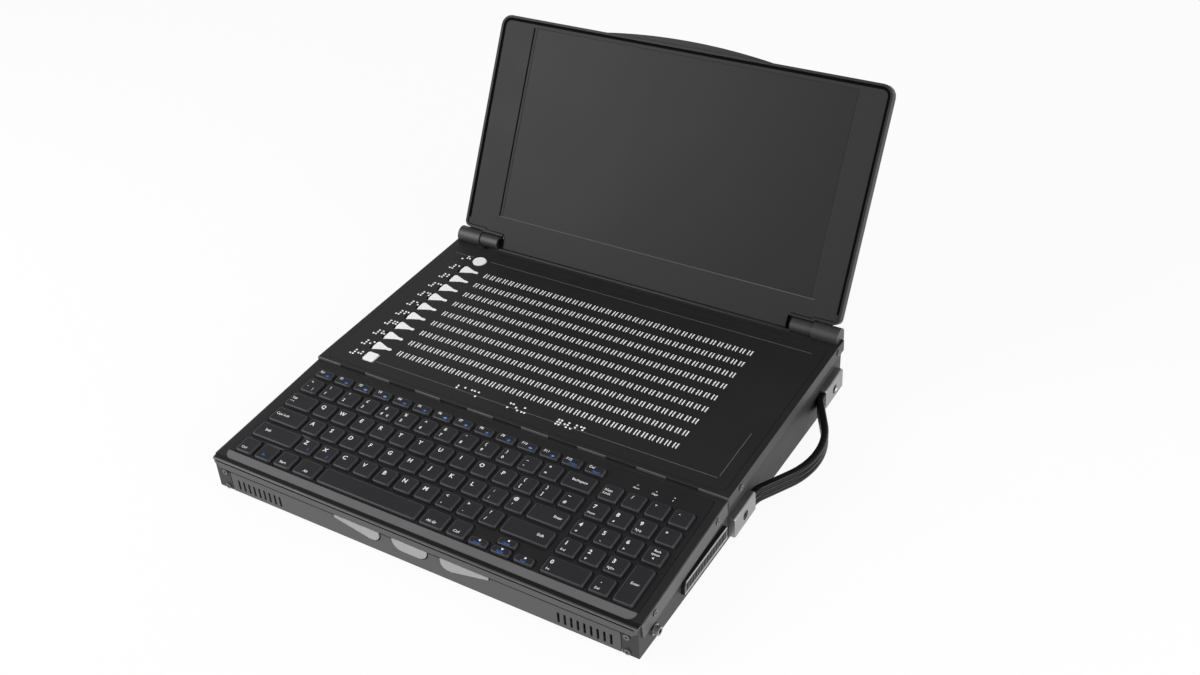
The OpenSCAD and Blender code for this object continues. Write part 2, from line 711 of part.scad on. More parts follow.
module button_board() color("#1f5a3a") display_frame() {
    box([button_x - pointer_l / 2 - board_edge, square_y - square_d / 2 - board_edge, board_z - board_t],
        [-frame_out, round_y + round_d / 2 + board_edge, board_z]);
    for (y = concat([square_y, round_y], [for (n = [1:lines]) line_y(n)]))
        translate([button_x, y, board_z]) cylinder(r = 2.5, h = stem_low - button_travel - switch_gap - board_z);
}

module main_board() color("#1f5a3a") placed() {
    low = base_top + post_h;
    box([-board_x, board_front, low], [board_x, board_rear, low + board_t]);
    for (p = [[-0.6, 0.3, 28], [0.1, 0.4, 36], [0.6, 0.2, 18], [-0.3, 0.7, 22]])
        translate([p[0] * board_x, board_front + p[1] * (board_rear - board_front), low + board_t])
            box([0, 0, 0], [p[2], p[2], chip_h]);
}

// Front thumb keys with a flange behind the panel
module thumb_key(x, outline, flange) color("#bdbdba") placed() {
    thumb_prism(x, outline, wall_front - thumb_proud, wall_front + sheet + 2 * seam);
    thumb_prism(x, flange, wall_front + sheet + seam, wall_front + sheet + seam + thumb_flange);
}

module thumb_key_left() thumb_key(-thumb_side_x, thumb_outer(thumb_outer_l, thumb_h, 0),
    thumb_outer(thumb_outer_l, thumb_h, 1));

module thumb_key_middle() thumb_key(0, thumb_middle(thumb_middle_l, thumb_h, 0),
    thumb_middle(thumb_middle_l, thumb_h, 1));

module thumb_key_right() translate([-2 * middle_x, 0, 0]) mirror([1, 0, 0]) thumb_key_left();

// Lid and hinge

// Outline of the lid in x and distance from the hinge axis, drawn in by inset
function lid_outline(inset) = let (
    band = barrel_in - hinge_seam - inset, side = lid_w / 2 - inset, top = lid_reach - inset,
    low = side_low + inset, r_top = 9 - inset, r_low = 5 - inset,
    right = concat(
        [[band, band_low + inset], [band, barrel_edge + inset],
         [notch_x - inset, barrel_edge + inset], [notch_x - inset, low]],
        arc(side - r_low, low + r_low, r_low, -90, 0, corner_steps),
        arc(side - r_top, top - r_top, r_top, 0, 90, corner_steps)),
    left = [for (i = [len(right) - 1:-1:0]) [-right[i][0], right[i][1]]])
    concat(right, left);

module lid_prism(inset, low, high) translate([0, 0, low]) linear_extrude(high - low)
    mirror([0, 1]) polygon(lid_outline(inset));

// Finger tab, a segment of a circle standing over the free edge
tab_r = (pow(tab_w / 2, 2) + pow(tab_h, 2)) / (2 * tab_h);
tab_half_angle = asin(tab_w / 2 / tab_r);

module finger_tab() translate([0, 0, lid_back - tab_t]) linear_extrude(tab_t) mirror([0, 1]) polygon(concat(
    [[tab_w / 2, lid_reach - lid_rim / 2]],
    arc(0, lid_reach + tab_h - tab_r, tab_r, 90 - tab_half_angle, 90 + tab_half_angle, 24),
    [[-tab_w / 2, lid_reach - lid_rim / 2]]));

// Open space beside the inner end of each barrel, in front of the lid's back
module end_pockets() both_sides() box([barrel_in - end_pocket, -barrel_edge, -lid_front - cut],
    [barrel_in - hinge_seam + cut, -band_low - pocket_sill, lid_back - lid_wall]);

module lid_shell() color("#1a1a1c") lid_frame() {
    difference() {
        lid_prism(0, -lid_front, lid_back);
        lid_prism(lid_rim, -lid_front - cut, lid_back - lid_wall);
        end_pockets();
        both_sides() {
            bar_x(barrel_r + hub_clear, barrel_in - hinge_seam, barrel_out + hinge_seam);
            box([barrel_in - seam, -leaf_l, lid_back - lid_wall - leaf_t - seam],
                [barrel_out - 1 + seam, 0, lid_back - lid_wall]);
        }
    }
    finger_tab();
}

screen_mid = screen_low + screen_h / 2;

module lid_bezel() color("#2c2c2f") lid_frame() difference() {
    lid_prism(lid_rim + bezel_gap, bezel_drop - lid_front, bezel_drop - lid_front + bezel_t);
    translate([screen_x, -screen_mid, 0]) box([-screen_w / 2, -screen_h / 2, -lid_front], [screen_w / 2, screen_h / 2, lid_back]);
    end_pockets();
    both_sides() bar_x(barrel_r + hub_clear, barrel_in - hinge_seam, barrel_out + hinge_seam);
}

module screen_panel() color("#1f1f21") lid_frame() translate([screen_x, -screen_mid, 0]) {
    behind = bezel_drop - lid_front + bezel_t;
    box([-screen_w / 2 + 0.2, -screen_h / 2 + 0.2, behind - bezel_t + 0.3], [screen_w / 2 - 0.2, screen_h / 2 - 0.2, behind + 0.2]);
    box([-screen_w / 2 - 3, -screen_h / 2 - 3, behind], [screen_w / 2 + 3, screen_h / 2 + 3, lid_back - lid_wall]);
}

module hinge_barrels() color("#2e2e30") lid_frame() both_sides() difference() {
    union() {
        bar_x(barrel_r, barrel_in, barrel_out);
        box([barrel_in, -leaf_l, lid_back - lid_wall - leaf_t], [barrel_out - 1, -barrel_r / 2, lid_back - lid_wall]);
    }
    bar_x(pin_r + running, barrel_in + 9.5, barrel_out + cut);
    bar_x(barrel_r - 1.4, barrel_in - cut, barrel_in + 9.5 + cut);
}

module hinge_knuckles() color("#2e2e30") display_frame() both_sides() difference() {
    union() {
        translate([0, hinge_y, hinge_h]) bar_x(knuckle_r, knuckle_in, knuckle_out);
        box([knuckle_in, display_l, -flange_h + 0.5], [knuckle_out, hinge_y + knuckle_r, hinge_h]);
    }
    box([0, hinge_y - 2 * knuckle_r, -2 * knuckle_r], [case_w, display_l, 0]);
    translate([0, hinge_y, hinge_h]) bar_x(pin_r, knuckle_in - cut, knuckle_out - 1.5);
}

module hinge_pins() color("#9a9c9f") display_frame() both_sides() translate([0, hinge_y, hinge_h])
    bar_x(pin_r, barrel_in + 10, knuckle_out - 1.5);

// Carrying handle

module handle_brackets() color("#a7a8a6") display_frame() for (end = [0, 1]) {
    y = end == 0 ? bracket_front : bracket_rear;
    mouth = end == 0 ? y + bracket_l : y;
    difference() {
        translate([0, y + bracket_l, 0]) rotate([90, 0, 0]) linear_extrude(bracket_l) polygon([
            [bracket_x, bracket_z], [bracket_x + bracket_t - 1, bracket_z], [bracket_x + bracket_t, bracket_z + 1],
            [bracket_x + bracket_t, bracket_z + bracket_h - 1], [bracket_x + bracket_t - 1, bracket_z + bracket_h],
            [bracket_x, bracket_z + bracket_h]]);
        translate([strap_x, mouth, strap_mid_z]) cube([tongue_t, 2 * pocket_d, strap_h] + 2 * strap_fit * [1, 0, 1], center = true);
        translate([0, y + bracket_l / 2, strap_mid_z]) {
            bar_x(2 + shank_clear, bracket_x - cut, bracket_x + bracket_t + cut);
            bar_x(3.6, bracket_x + bracket_t - 2, bracket_x + bracket_t + cut);
        }
    }
}

module handle_screws() color("#77797b") display_frame() for (y = [bracket_front, bracket_rear])
    translate([0, y + bracket_l / 2, strap_mid_z]) difference() {
        union() {
            bar_x(3.4, bracket_x + bracket_t - 2, bracket_x + bracket_t - 0.4);
            bar_x(2, bracket_x - sheet - 1, bracket_x + bracket_t - 1);
        }
        translate([bracket_x + bracket_t - 1.4, 0, 0]) rotate([0, 90, 0]) cylinder(r = 1.7, h = 2, $fn = 6);
    }

// Centre line of the strap as [x, y, heading], from the front pocket to the rear one
function strap_arc(x, y, r, from, to, steps) =
    [for (i = [0:steps]) let (h = from + (to - from) * i / steps) [x + r * sin(h), y - r * cos(h), h]];
strap_path = concat(
    strap_arc(strap_x + strap_r1, strap_start, -strap_r1, 90, 90 - strap_lean, 8),
    strap_arc(strap_x + strap_bow - strap_r2, strap_start + strap_half, strap_r2, 90 - strap_lean, 90 + strap_lean, 20),
    strap_arc(strap_x + strap_r1, bracket_rear, -strap_r1, 90 + strap_lean, 90, 8));

// The strap's outline from above between two distances from its centre line
function strap_side(d) = [for (p = strap_path) [p[0] + d * sin(p[2]), p[1] - d * cos(p[2])]];
function strap_outline(inner, outer) = let (a = strap_side(outer), b = strap_side(inner))
    concat(a, [for (i = [len(b) - 1:-1:0]) b[i]]);

module handle_strap() color("#0d0d0e") display_frame() {
    translate([0, 0, strap_mid_z - strap_h / 2]) linear_extrude(strap_h)
        polygon(strap_outline(-strap_t / 2, strap_t / 2 - strap_groove));
    for (z = [-1, 0, 1]) translate([0, 0, strap_mid_z + z * rib_pitch - rib_h / 2]) linear_extrude(rib_h)
        polygon(strap_outline(0, strap_t / 2));
    // Thin tongues that sit in the brackets
    for (y = [strap_start - pocket_d / 2 + cut, bracket_rear + pocket_d / 2 - cut]) translate([strap_x, y, strap_mid_z])
        cube([tongue_t, pocket_d - seam, strap_h], center = true);
}

// Fasteners

// A round-headed screw along X whose head sits on the face at x
module side_screw(x) difference() {
    union() {
        bar_x(screw_r, x, x + screw_head);
        bar_x(shank_r, x - sheet, x + cut);
    }
    translate([x + screw_head / 2, 0, 0]) rotate([0, 90, 0]) cylinder(r = 1.1, h = screw_head, $fn = 6);
}

module case_screws() color("#3a3a3d") {
    keyboard_frame() both_sides() for (y = keyboard_screws) translate([0, y, -keyboard_screw_z]) side_screw(case_w / 2);
    display_frame() both_sides() for (y = display_screws) translate([0, y, -flange_h / 2]) side_screw(case_w / 2);
    placed() both_sides() for (z = corner_screws) translate([corner_screw_x, wall_front, z])
        rotate([0, 0, -90]) side_screw(0);
}

// Speaker and sockets

module speaker_grille() color("#1c1c1e") placed() difference() {
    translate([wall_x, 0, 0]) rotate([90, 0, 90]) linear_extrude(grille_t) polygon([
        [grille_y[0], grille_z[0]], [grille_y[1], grille_z[0]], [grille_y[1], grille_z[1]],
        [grille_y[0] + 2.4, grille_z[1]], [grille_y[0], grille_z[1] - 4]]);
    pitch = (grille_y[1] - grille_y[0] - 2 * grille_rim) / grille_ribs;
    for (i = [0:grille_ribs - 1]) translate([0, grille_y[0] + grille_rim + (i + 0.2) * pitch, 0])
        box([wall_x - cut, 0, grille_z[0] + grille_rim], [wall_x + grille_t + cut, 0.6 * pitch, grille_z[1] - grille_rim]);
}

module speaker() color("#303033") placed() difference() {
    box([wall_x - sheet - speaker_t, grille_y[0] + speaker_inset, grille_z[0] + 0.5],
        [wall_x - sheet, grille_y[1] - speaker_inset, grille_z[1] + 3]);
    translate([0, (grille_y[0] + grille_y[1]) / 2, (grille_z[0] + grille_z[1]) / 2]) bar_x(4, wall_x - sheet - 4, wall_x);
}

module headphone_socket() color("#a9abad") placed() translate([0, phone_pos[0], phone_pos[1]]) difference() {
    union() {
        bar_x(phone_r + 1.3, wall_x - 10, wall_x + 5.5);
        translate([wall_x, 0, 0]) rotate([0, 90, 0]) cylinder(r = 4.4, h = 2.2, $fn = 6);
        box([wall_x - sheet - 11, -4.5, -3.5], [wall_x - sheet, 4.5, 3.5]);
    }
    bar_x(phone_r, wall_x + 5.5 - socket_depth, wall_x + 5.5 + cut);
}

module power_socket() color("#202022") placed() translate([0, power_pos[0], power_pos[1]]) difference() {
    union() {
        bar_x(power_r + 1.9, -wall_x - 0.6, -wall_x + sheet + cut);
        box([-wall_x + sheet, -5.5, -5.5], [-wall_x + sheet + 14, 5.5, 5.5]);
    }
    bar_x(power_r, -wall_x - 0.6 - cut, -wall_x - 0.6 + socket_depth);
}

// Every piece is drawn by its own line

base_pan();
left_side_panel();
right_side_panel();
front_panel();
rear_panel();
display_deck();
braille_plate();
keyboard_deck();
keyboard_tray();
rubber_feet();
case_screws();
handle_brackets();
handle_strap();
handle_screws();
speaker_grille();
speaker();
headphone_socket();
power_socket();
hinge_knuckles();
hinge_pins();
rotor_frame_left();
rotor_frame_right();
line_motors();
button_board();
main_board();
lid_shell();
lid_bezel();
screen_panel();
hinge_barrels();
for (n = [1:lines]) rotor_line(n);
for (n = [1:lines]) line_button(n);
round_button();
square_button();
thumb_key_left();
thumb_key_middle();
thumb_key_right();
key_group(row_keys(0));  // function_keys
key_group(row_keys(1));  // number_keys
key_group(row_keys(2));  // upper_keys
key_group(row_keys(3));  // home_keys
key_group(row_keys(4));  // lower_keys
key_group(concat(row_keys(5), arrow_keys));  // control_keys
key_group(pad_keys);  // numpad_keys
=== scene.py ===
"""Looks of a multi-line braille display with a keyboard deck, a fold-up screen and a carrying handle."""
import json
import math

import bmesh
import bpy
from mathutils import Matrix, Vector


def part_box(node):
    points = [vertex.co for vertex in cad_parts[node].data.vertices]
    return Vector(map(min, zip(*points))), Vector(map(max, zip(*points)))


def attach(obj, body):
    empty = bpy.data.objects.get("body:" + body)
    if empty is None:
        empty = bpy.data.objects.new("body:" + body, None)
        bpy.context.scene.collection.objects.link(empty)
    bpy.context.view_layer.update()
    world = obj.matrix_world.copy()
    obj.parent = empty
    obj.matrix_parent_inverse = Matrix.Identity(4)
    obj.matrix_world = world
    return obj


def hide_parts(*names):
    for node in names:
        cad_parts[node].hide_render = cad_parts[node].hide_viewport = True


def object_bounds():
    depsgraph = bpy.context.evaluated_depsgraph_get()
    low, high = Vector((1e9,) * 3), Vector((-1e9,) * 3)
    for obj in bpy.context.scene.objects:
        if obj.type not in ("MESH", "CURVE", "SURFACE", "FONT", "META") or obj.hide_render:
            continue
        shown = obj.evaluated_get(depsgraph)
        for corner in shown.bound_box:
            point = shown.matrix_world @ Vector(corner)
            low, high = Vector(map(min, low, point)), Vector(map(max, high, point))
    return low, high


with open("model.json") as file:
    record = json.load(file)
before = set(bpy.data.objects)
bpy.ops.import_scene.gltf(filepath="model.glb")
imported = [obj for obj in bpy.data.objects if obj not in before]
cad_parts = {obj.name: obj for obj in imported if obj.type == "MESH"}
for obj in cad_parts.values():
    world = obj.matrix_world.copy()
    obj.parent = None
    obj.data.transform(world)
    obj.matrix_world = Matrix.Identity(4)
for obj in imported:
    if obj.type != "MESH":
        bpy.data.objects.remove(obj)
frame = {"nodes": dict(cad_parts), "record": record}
CAD_BOX = [list(corner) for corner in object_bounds()]
CAD_MATERIALS = set(bpy.data.materials.keys())

bl_info = {
    "name": "Braille Display Looks",
    "version": (1, 0, 0),
    "blender": (4, 5, 0),
    "location": "View3D > Sidebar > Braille",
    "description": "Dresses the solids of a braille display with edges, legends, dots and finishes",
    "category": "Object",
}

# Sizes of the solids in millimetres, and the frames that lead from them to the part's own frame

CASE_W, KEYBOARD_D, DISPLAY_D, FRONT_TOP = 355.0, 120.0, 194.0, 29.0
KEYBOARD_TILT, DISPLAY_TILT, DECK_STEP = math.radians(4.7), math.radians(2.0), 2.3
LID_OPEN, HINGE_H, HINGE_BACK = math.radians(120.0), 3.2, 2.4
LID_FRONT, LID_BACK, LID_REACH, LID_CORNER = 2.6, 4.7, 189.5, 9.0
LID_INSET, LID_LOW, NOTCH_X = 4.5, 8.0, 153.45
BEZEL_Z, SCREEN_FOOT, SCREEN_HEAD = 1.6, 23.0, 182.5
WALL_X, BRACKET_T = 176.2, 5.6
STRAP_X, STRAP_BOW, STRAP_T = WALL_X + BRACKET_T / 2, 22.4, 5.2
VENTS, VENT_OUTER, VENT_PITCH, VENT_LOW, VENT_H, VENT_W = 9, 156.0, 4.87, 4.4, 7.6, 1.6

# How dressed copies differ from their solids: scale, then shift in millimetres

POINTER_FIT = (0.9, 0.84, 1.0), (1.1, 0.0, 0.0)
BUTTON_FIT = (0.92, 0.92, 1.0), (-0.4, 0.0, 0.0)
THUMB_FIT = (0.965, 1.0, 0.9), (0.0, 0.0, 0.35)
THUMB_JOINT_FIT = (1.0, 1.0, 1.0), (0.0, 0.97, 0.0)
VENT_WIDER, VENT_TALLER, VENT_RAISE = 1.25, 1.22, 0.4


def turn(angle):
    return Matrix.Rotation(angle, 4, "X")


def shift(x, y, z):
    return Matrix.Translation((x, y, z))


RIGHT = STRAP_X + STRAP_BOW + STRAP_T / 2
CASE = Matrix.Scale(0.001, 4) @ shift(CAD_BOX[1][0] * 1000 - RIGHT, CAD_BOX[0][1] * 1000, 0)
KEYBOARD = CASE @ shift(0, 0, FRONT_TOP) @ turn(KEYBOARD_TILT)
DECK_FRONT = FRONT_TOP + KEYBOARD_D * math.tan(KEYBOARD_TILT) + DECK_STEP
DECK = CASE @ shift(0, KEYBOARD_D, DECK_FRONT) @ turn(DISPLAY_TILT)
HINGE_Y = DISPLAY_D / math.cos(DISPLAY_TILT) - HINGE_BACK
LID = DECK @ shift(0, HINGE_Y, HINGE_H) @ turn(-LID_OPEN)

# Layout of the keys in key pitches, as in the solids

PITCH, KEY_GAP, KEY_H, KEY_PROUD, KEY_DRAFT, KEY_CORNER = 17.9003, 2.9, 3.9, 2.4, 0.7, 1.9
KEY_D, FUNCTION_D, HALF_D, HALF_STEP = 15.0, 8.5, 7.2, 3.9
FRONT_ROW, FUNCTION_ROW, KEYBOARD_FRONT, KEYBOARD_RIM = 19.7, 105.95, 4.8, 7.5
NUMPAD = 14.65
LEFT = -(NUMPAD + 4) * PITCH / 2
LINES, LINE_PITCH, FIRST_LINE = 9, 14.6875, 31.8
CELLS, CELL_PITCH, DOT_PITCH, WHEEL_T = 40, 6.2, 2.5, 1.05


def line_y(line):
    return FIRST_LINE + (LINES - line) * LINE_PITCH


def row_y(row):
    return FUNCTION_ROW if row == 0 else FRONT_ROW + (5 - row) * PITCH


def key_at(start, units, y, depth=KEY_D):
    """Centre, width and depth of a key."""
    return (LEFT + (start + units / 2) * PITCH, y, units * PITCH - KEY_GAP, depth)


def key_row(row, widths):
    depth = FUNCTION_D if row == 0 else KEY_D
    starts = [sum(widths[:i]) for i in range(len(widths))]
    return [key_at(s, w, row_y(row), depth) for s, w in zip(starts, widths)]


def arrow_row():
    low, high = row_y(5) - HALF_STEP, row_y(5) + HALF_STEP
    return [key_at(11.5, 1, low, HALF_D), key_at(12.5, 1, low, HALF_D),
            key_at(12.5, 1, high, HALF_D), key_at(13.5, 1, low, HALF_D)]


def numpad_rows():
    pad = [key_at(NUMPAD + c, 1, row_y(r)) for r in (1, 2, 3) for c in range(4)]
    pad += [key_at(NUMPAD + c, 1, row_y(4)) for c in range(3)]
    pad += [key_at(NUMPAD, 2, row_y(5)), key_at(NUMPAD + 2, 1, row_y(5))]
    return pad + [key_at(NUMPAD + 3, 1, (row_y(4) + row_y(5)) / 2, KEY_D + PITCH)]


KEY_GROUPS = {
    "function_keys": key_row(0, [14.5 / 14] * 14),
    "number_keys": key_row(1, [1] * 13 + [1.5]),
    "upper_keys": key_row(2, [1.5] + [1] * 13),
    "home_keys": key_row(3, [1.75] + [1] * 11 + [1.75]),
    "lower_keys": key_row(4, [2.25] + [1] * 10 + [2.25]),
    "control_keys": key_row(5, [1, 1, 1, 1.25, 5, 1.25, 1]) + arrow_row(),
    "numpad_keys": numpad_rows(),
}

# Legends of the keys: for each key a list of (words, cap height, x, y, tone) from the key's middle


def word(text, x, y, size=2.15, tone="white"):
    return [(text, size, x, y, tone)]


def letter(sign):
    return word(sign, -2.6, 2.2, 3.5)


def stacked(high, low):
    return word(high, -3.0, 3.6, 2.7) + word(low, -3.2, -2.6, 2.7)


def function_key(name, sign):
    button = word("disc", 3.2, -1.2, 1.15, "deep") + word(sign, 3.2, -1.2, 0.7, "pale")
    return word(name, -3.2, 1.3, 2.2) + button


def arrow_key(sign, name):
    return word(sign, 0.4, 1.2, 1.2) + word(name, 0.0, -1.5, 1.75, "blue")


def pad_key(digit, below):
    return word(digit, -3.2, 2.4, 3.4) + word(below, -2.4, -3.6, 1.7)


def pad_arrow(digit, sign):
    return word(digit, -3.2, 2.4, 3.4) + word(sign, -3.2, -3.6, 1.0)


LEGENDS = {
    "function_keys": [
        *map(function_key, "Esc F1 F2 F3 F4 F5 F6 F7 F8 F9 F10 F11".split(),
             "left right bar bar left right bar house down up bar house".split()),
        word("F12", -3.2, 1.3, 2.2) + word("PrtScr", 1.8, -1.8, 1.9, "blue"),
        word("Del", -3.2, 1.3, 2.2) + word("Insert", 2.0, -1.8, 1.9, "blue")],
    "number_keys": [
        stacked("¬", "`") + word("|", 2.6, -2.9, 2.2), *map(stacked, '!"£', "123"),
        stacked("$", "4") + word("€", 2.2, -2.9, 2.2), *map(stacked, "%^&*()_+", "567890-="),
        word("Backspace", 0.5, 0.6)],
    "upper_keys": [
        word("Tab", -7.6, 1.4) + word("<", -8.6, -2.0, 1.6) + word(">", -6.4, -2.0, 1.6),
        *map(letter, "QWERTYUIOP"), *map(stacked, "{}~", "[]#")],
    "home_keys": [
        word("Caps lock", -5.6, 0.6), *map(letter, "ASDFGHJKL"), *map(stacked, ":@", ";'"),
        word("Enter", 7.2, 0.8)],
    "lower_keys": [
        word("Shift", -8.6, 0.4), letter("Z") + word("\\", 3.0, -3.2, 2.4, "blue"),
        letter("X") + word("|", 3.0, -3.2, 2.4, "blue"), *map(letter, "CVBNM"),
        *map(stacked, "<>?", ",./"), word("Shift", 9.6, 0.4)],
    "control_keys": [
        word("Ctrl", -1.6, -3.0), word("Fn", -1.0, -3.0, 2.0, "blue"), word("Start", -0.6, -3.0),
        word("Alt", 0.4, -3.0), [], word("Alt Gr", -1.0, -3.0), word("Ctrl", -0.6, -3.0),
        arrow_key("left", "Home"), arrow_key("down", "PgDn"), arrow_key("up", "PgUp"),
        arrow_key("right", "End")],
    "numpad_keys": [
        word("Num", -2.4, 1.6) + word("Lock", -2.4, -1.4), word("/", -2.6, 2.8, 2.6),
        word("*", -2.6, 2.0, 3.0), word("-", -2.6, 2.8, 2.8),
        pad_key("7", "Home"), pad_arrow("8", "up"), pad_key("9", "PgUp"),
        word("+", -2.6, 2.6, 2.8), pad_arrow("4", "left"), pad_key("5", "_"), pad_arrow("6", "right"),
        word("Back", 0.0, 3.8, 1.9) + word("space", 0.0, 0.8, 1.9) + word("left", 0.0, -2.6, 1.0),
        pad_key("1", "End"), pad_arrow("2", "down"), pad_key("3", "PgDn"),
        word("0", -12.0, 2.4, 3.4) + word("Ins", -11.6, -3.6, 1.8),
        word(".", -1.6, 2.6, 3.0) + word("Del", -1.8, -3.6, 1.8), word("Enter", 0.2, 0.6, 2.0)],
}

# Braille signs as the numbers of their raised dots, one to three down the left side

SIGNS = {
    "a": "1", "b": "12", "c": "14", "d": "145", "e": "15", "f": "124", "g": "1245", "h": "125", "i": "24",
    "j": "245", "k": "13", "m": "134", "u": "136", "w": "2456", "number": "3456", "capital": "6",
    "en": "26", "for": "123456", "ar": "345",
}

# Rays that show the background

RAYS = "Is Camera Ray", "Is Glossy Ray", "Is Transmission Ray"


class Wire:
    """A shader socket that takes part in plain arithmetic, and the one place where nodes are made."""

    def __init__(self, tree, socket=None):
        self.tree = tree
        self.socket = socket

    def node(self, kind, inputs=None, out=0, **settings):
        made = self.tree.nodes.new(kind)
        for name, value in settings.items():
            setattr(made, name, value)
        for key, value in (inputs or {}).items():
            socket = made.inputs[key]
            if isinstance(value, Wire):
                self.tree.links.new(value.socket, socket)
            else:
                socket.default_value = value
        return Wire(self.tree, made.outputs[out])

    def maths(self, operation, a, b):
        return self.node("ShaderNodeMath", {0: a, 1: b}, operation=operation)

    def __add__(self, other):
        return self.maths("ADD", self, other)

    __radd__ = __add__

    def __sub__(self, other):
        return self.maths("SUBTRACT", self, other)

    def __rsub__(self, other):
        return self.maths("SUBTRACT", other, self)

    def __mul__(self, other):
        return self.maths("MULTIPLY", self, other)

    def above(self, other):
        return self.maths("GREATER_THAN", self, other)

    def top(self, other):
        return self.maths("MAXIMUM", self, other)

    def mix(self, factor, a, b):
        """Colour a where factor is 0 and colour b where it is 1."""
        return self.node("ShaderNodeMix", {0: factor, 6: a, 7: b}, 2, data_type="RGBA")

    def spot(self):
        """The piece's own coordinates, which are in metres."""
        return self.node("ShaderNodeTexCoord", out="Object")

    def place(self, axis):
        return self.node("ShaderNodeSeparateXYZ", {0: self.spot()}, axis)

    def noise(self, scale, detail, rough=0.55):
        inputs = {"Vector": self.spot(), "Scale": scale, "Detail": detail, "Roughness": rough}
        return self.node("ShaderNodeTexNoise", inputs)

    def edge_strips(self):
        """1 on the strips of rounded edges and 0 elsewhere; the finishes paint these strips paler, partly for
        wear and partly as a painted highlight.
        """
        return self.node("ShaderNodeAttribute", out="Fac", attribute_name="wear")

    def bump(self, strength, depth, height):
        inputs = {"Strength": strength, "Distance": depth, "Height": height}
        return self.node("ShaderNodeBump", inputs)

    def rays(self):
        """Two factors: 1 for the camera's rays, and 1 for these and for mirrored and transmitted rays."""
        camera, glossy, through = [self.node("ShaderNodeLightPath", out=name) for name in RAYS]
        return camera, camera.top(glossy).top(through)


def grey(tone):
    return (tone, tone, tone, 1.0)


def lighter(colour, amount):
    return (*[min(1.0, c * amount) for c in colour[:3]], 1.0)


def finish_of(name, build):
    """A material whose principled shader takes the inputs that build(wire) gives."""
    if name in CAD_MATERIALS:
        raise ValueError("the solids already have a material called " + name)
    material = bpy.data.materials.get(name)
    if material:
        return material
    material = bpy.data.materials.new(name)
    material.use_nodes = True
    tree = material.node_tree
    shader = tree.nodes["Principled BSDF"]
    for socket, value in build(Wire(tree)).items():
        if isinstance(value, Wire):
            tree.links.new(value.socket, shader.inputs[socket])
        else:
            shader.inputs[socket].default_value = value
    material.diffuse_color = shader.inputs["Base Color"].default_value
    return material


def grained(name, colour, rough, grain=1500.0, depth=0.00003, sheen=0.5, wear=2.2, cloud=25.0, tint=None):
    """A coated or moulded surface: cloudy tone, fine grain, edges paler for wear and as a painted highlight;
    tint may change the tone.
    """
    def build(wire):
        clouds = wire.noise(cloud, 4.0)
        speck = wire.noise(grain, 2.0, 0.6)
        edge = wire.edge_strips()
        tone = wire.mix(clouds, lighter(colour, 0.82), lighter(colour, 1.18))
        tone = wire.mix(speck * 0.35, tone, lighter(colour, 1.5))
        tone = tint(wire, tone) if tint else tone
        # Edge strips painted paler: partly edge wear, partly a painted highlight
        tone = wire.mix(edge * (0.35 + clouds * 0.65), tone, lighter(colour, wear))
        matt = rough + (clouds - 0.5) * 0.16 - edge * 0.08 + (speck - 0.5) * 0.1
        return {"Base Color": tone, "Roughness": matt, "Specular IOR Level": sheen,
                "Normal": wire.bump(0.6, depth, speck)}
    return finish_of(name, build)


def smooth_finish(name, colour, rough, sheen=0.5, metal=0.0):
    """A smooth moulding with a faint cloud in its tone and gloss."""
    def build(wire):
        clouds = wire.noise(60.0, 4.0)
        speck = wire.noise(900.0, 2.0)
        tone = wire.mix(clouds, lighter(colour, 0.9), lighter(colour, 1.06))
        return {"Base Color": tone, "Roughness": rough + (clouds - 0.5) * 0.2, "Metallic": metal,
                "Specular IOR Level": sheen, "Normal": wire.bump(0.25, 0.00004, speck)}
    return finish_of(name, build)


def brushed(name, colour, rough):
    """Bare metal with fine lines along Y."""
    def build(wire):
        drawn = wire.node("ShaderNodeMapping", {"Vector": wire.spot(), "Scale": (1.0, 0.03, 1.0)})
        lines = wire.node("ShaderNodeTexNoise", {"Vector": drawn, "Scale": 2600.0, "Detail": 3.0})
        clouds = wire.noise(70.0, 4.0)
        tone = wire.mix(lines, lighter(colour, 0.8), lighter(colour, 1.15))
        # Edge strips painted paler: partly edge wear, partly a painted highlight
        tone = wire.mix(wire.edge_strips() * 0.6, tone, lighter(colour, 1.35))
        return {"Base Color": tone, "Roughness": rough + (clouds - 0.5) * 0.2 + (lines - 0.5) * 0.12,
                "Metallic": 1.0, "Normal": wire.bump(0.3, 0.00003, lines)}
    return finish_of(name, build)


def joint_black():
    """The black of open joints, also used for painted shadow lines."""
    return smooth_finish("joint_black", grey(0.003), 0.7, sheen=0.03)


# Sizes and colours that a user can change


def colour_prop(name, description, default):
    return bpy.props.FloatVectorProperty(
        name=name, description=description, subtype="COLOR", size=3, default=default, min=0.0, max=1.0)


def length_prop(name, description, default, low, high):
    return bpy.props.FloatProperty(
        name=name, description=description, subtype="DISTANCE", unit="LENGTH", default=default,
        min=low, max=high)


class BrailleCaseLooks(bpy.types.PropertyGroup):
    """Colours and edge sizes of the case, the lid and the handle."""

    sheet: colour_prop("Sheet", "Colour of the coated case sheets", (0.0135, 0.0135, 0.0137))
    # This colour also serves as painted light on the decks' upright faces, and darkened as painted shade on
    # the side and rear panels
    panel: colour_prop("Panels", "Colour of the front, side and rear panels", (0.07, 0.07, 0.0705))
    bezel: colour_prop("Bezel", "Colour of the frame round the screen", (0.018, 0.018, 0.0181))
    screen: colour_prop("Screen", "Colour of the screen when it is off", (0.0118, 0.0118, 0.0119))
    bracket: colour_prop("Brackets", "Colour of the handle's metal brackets", (0.34, 0.34, 0.336))
    fold: length_prop("Fold radius", "Rounding of the sheets' edges", 0.00035, 0.00005, 0.0006)
    bend: length_prop("Bend radius", "Radius of the bends along the decks", 0.0011, 0.0004, 0.0012)
    lid_edge: length_prop("Lid edge", "Rounding of the lid's outer edges", 0.0009, 0.0002, 0.0009)


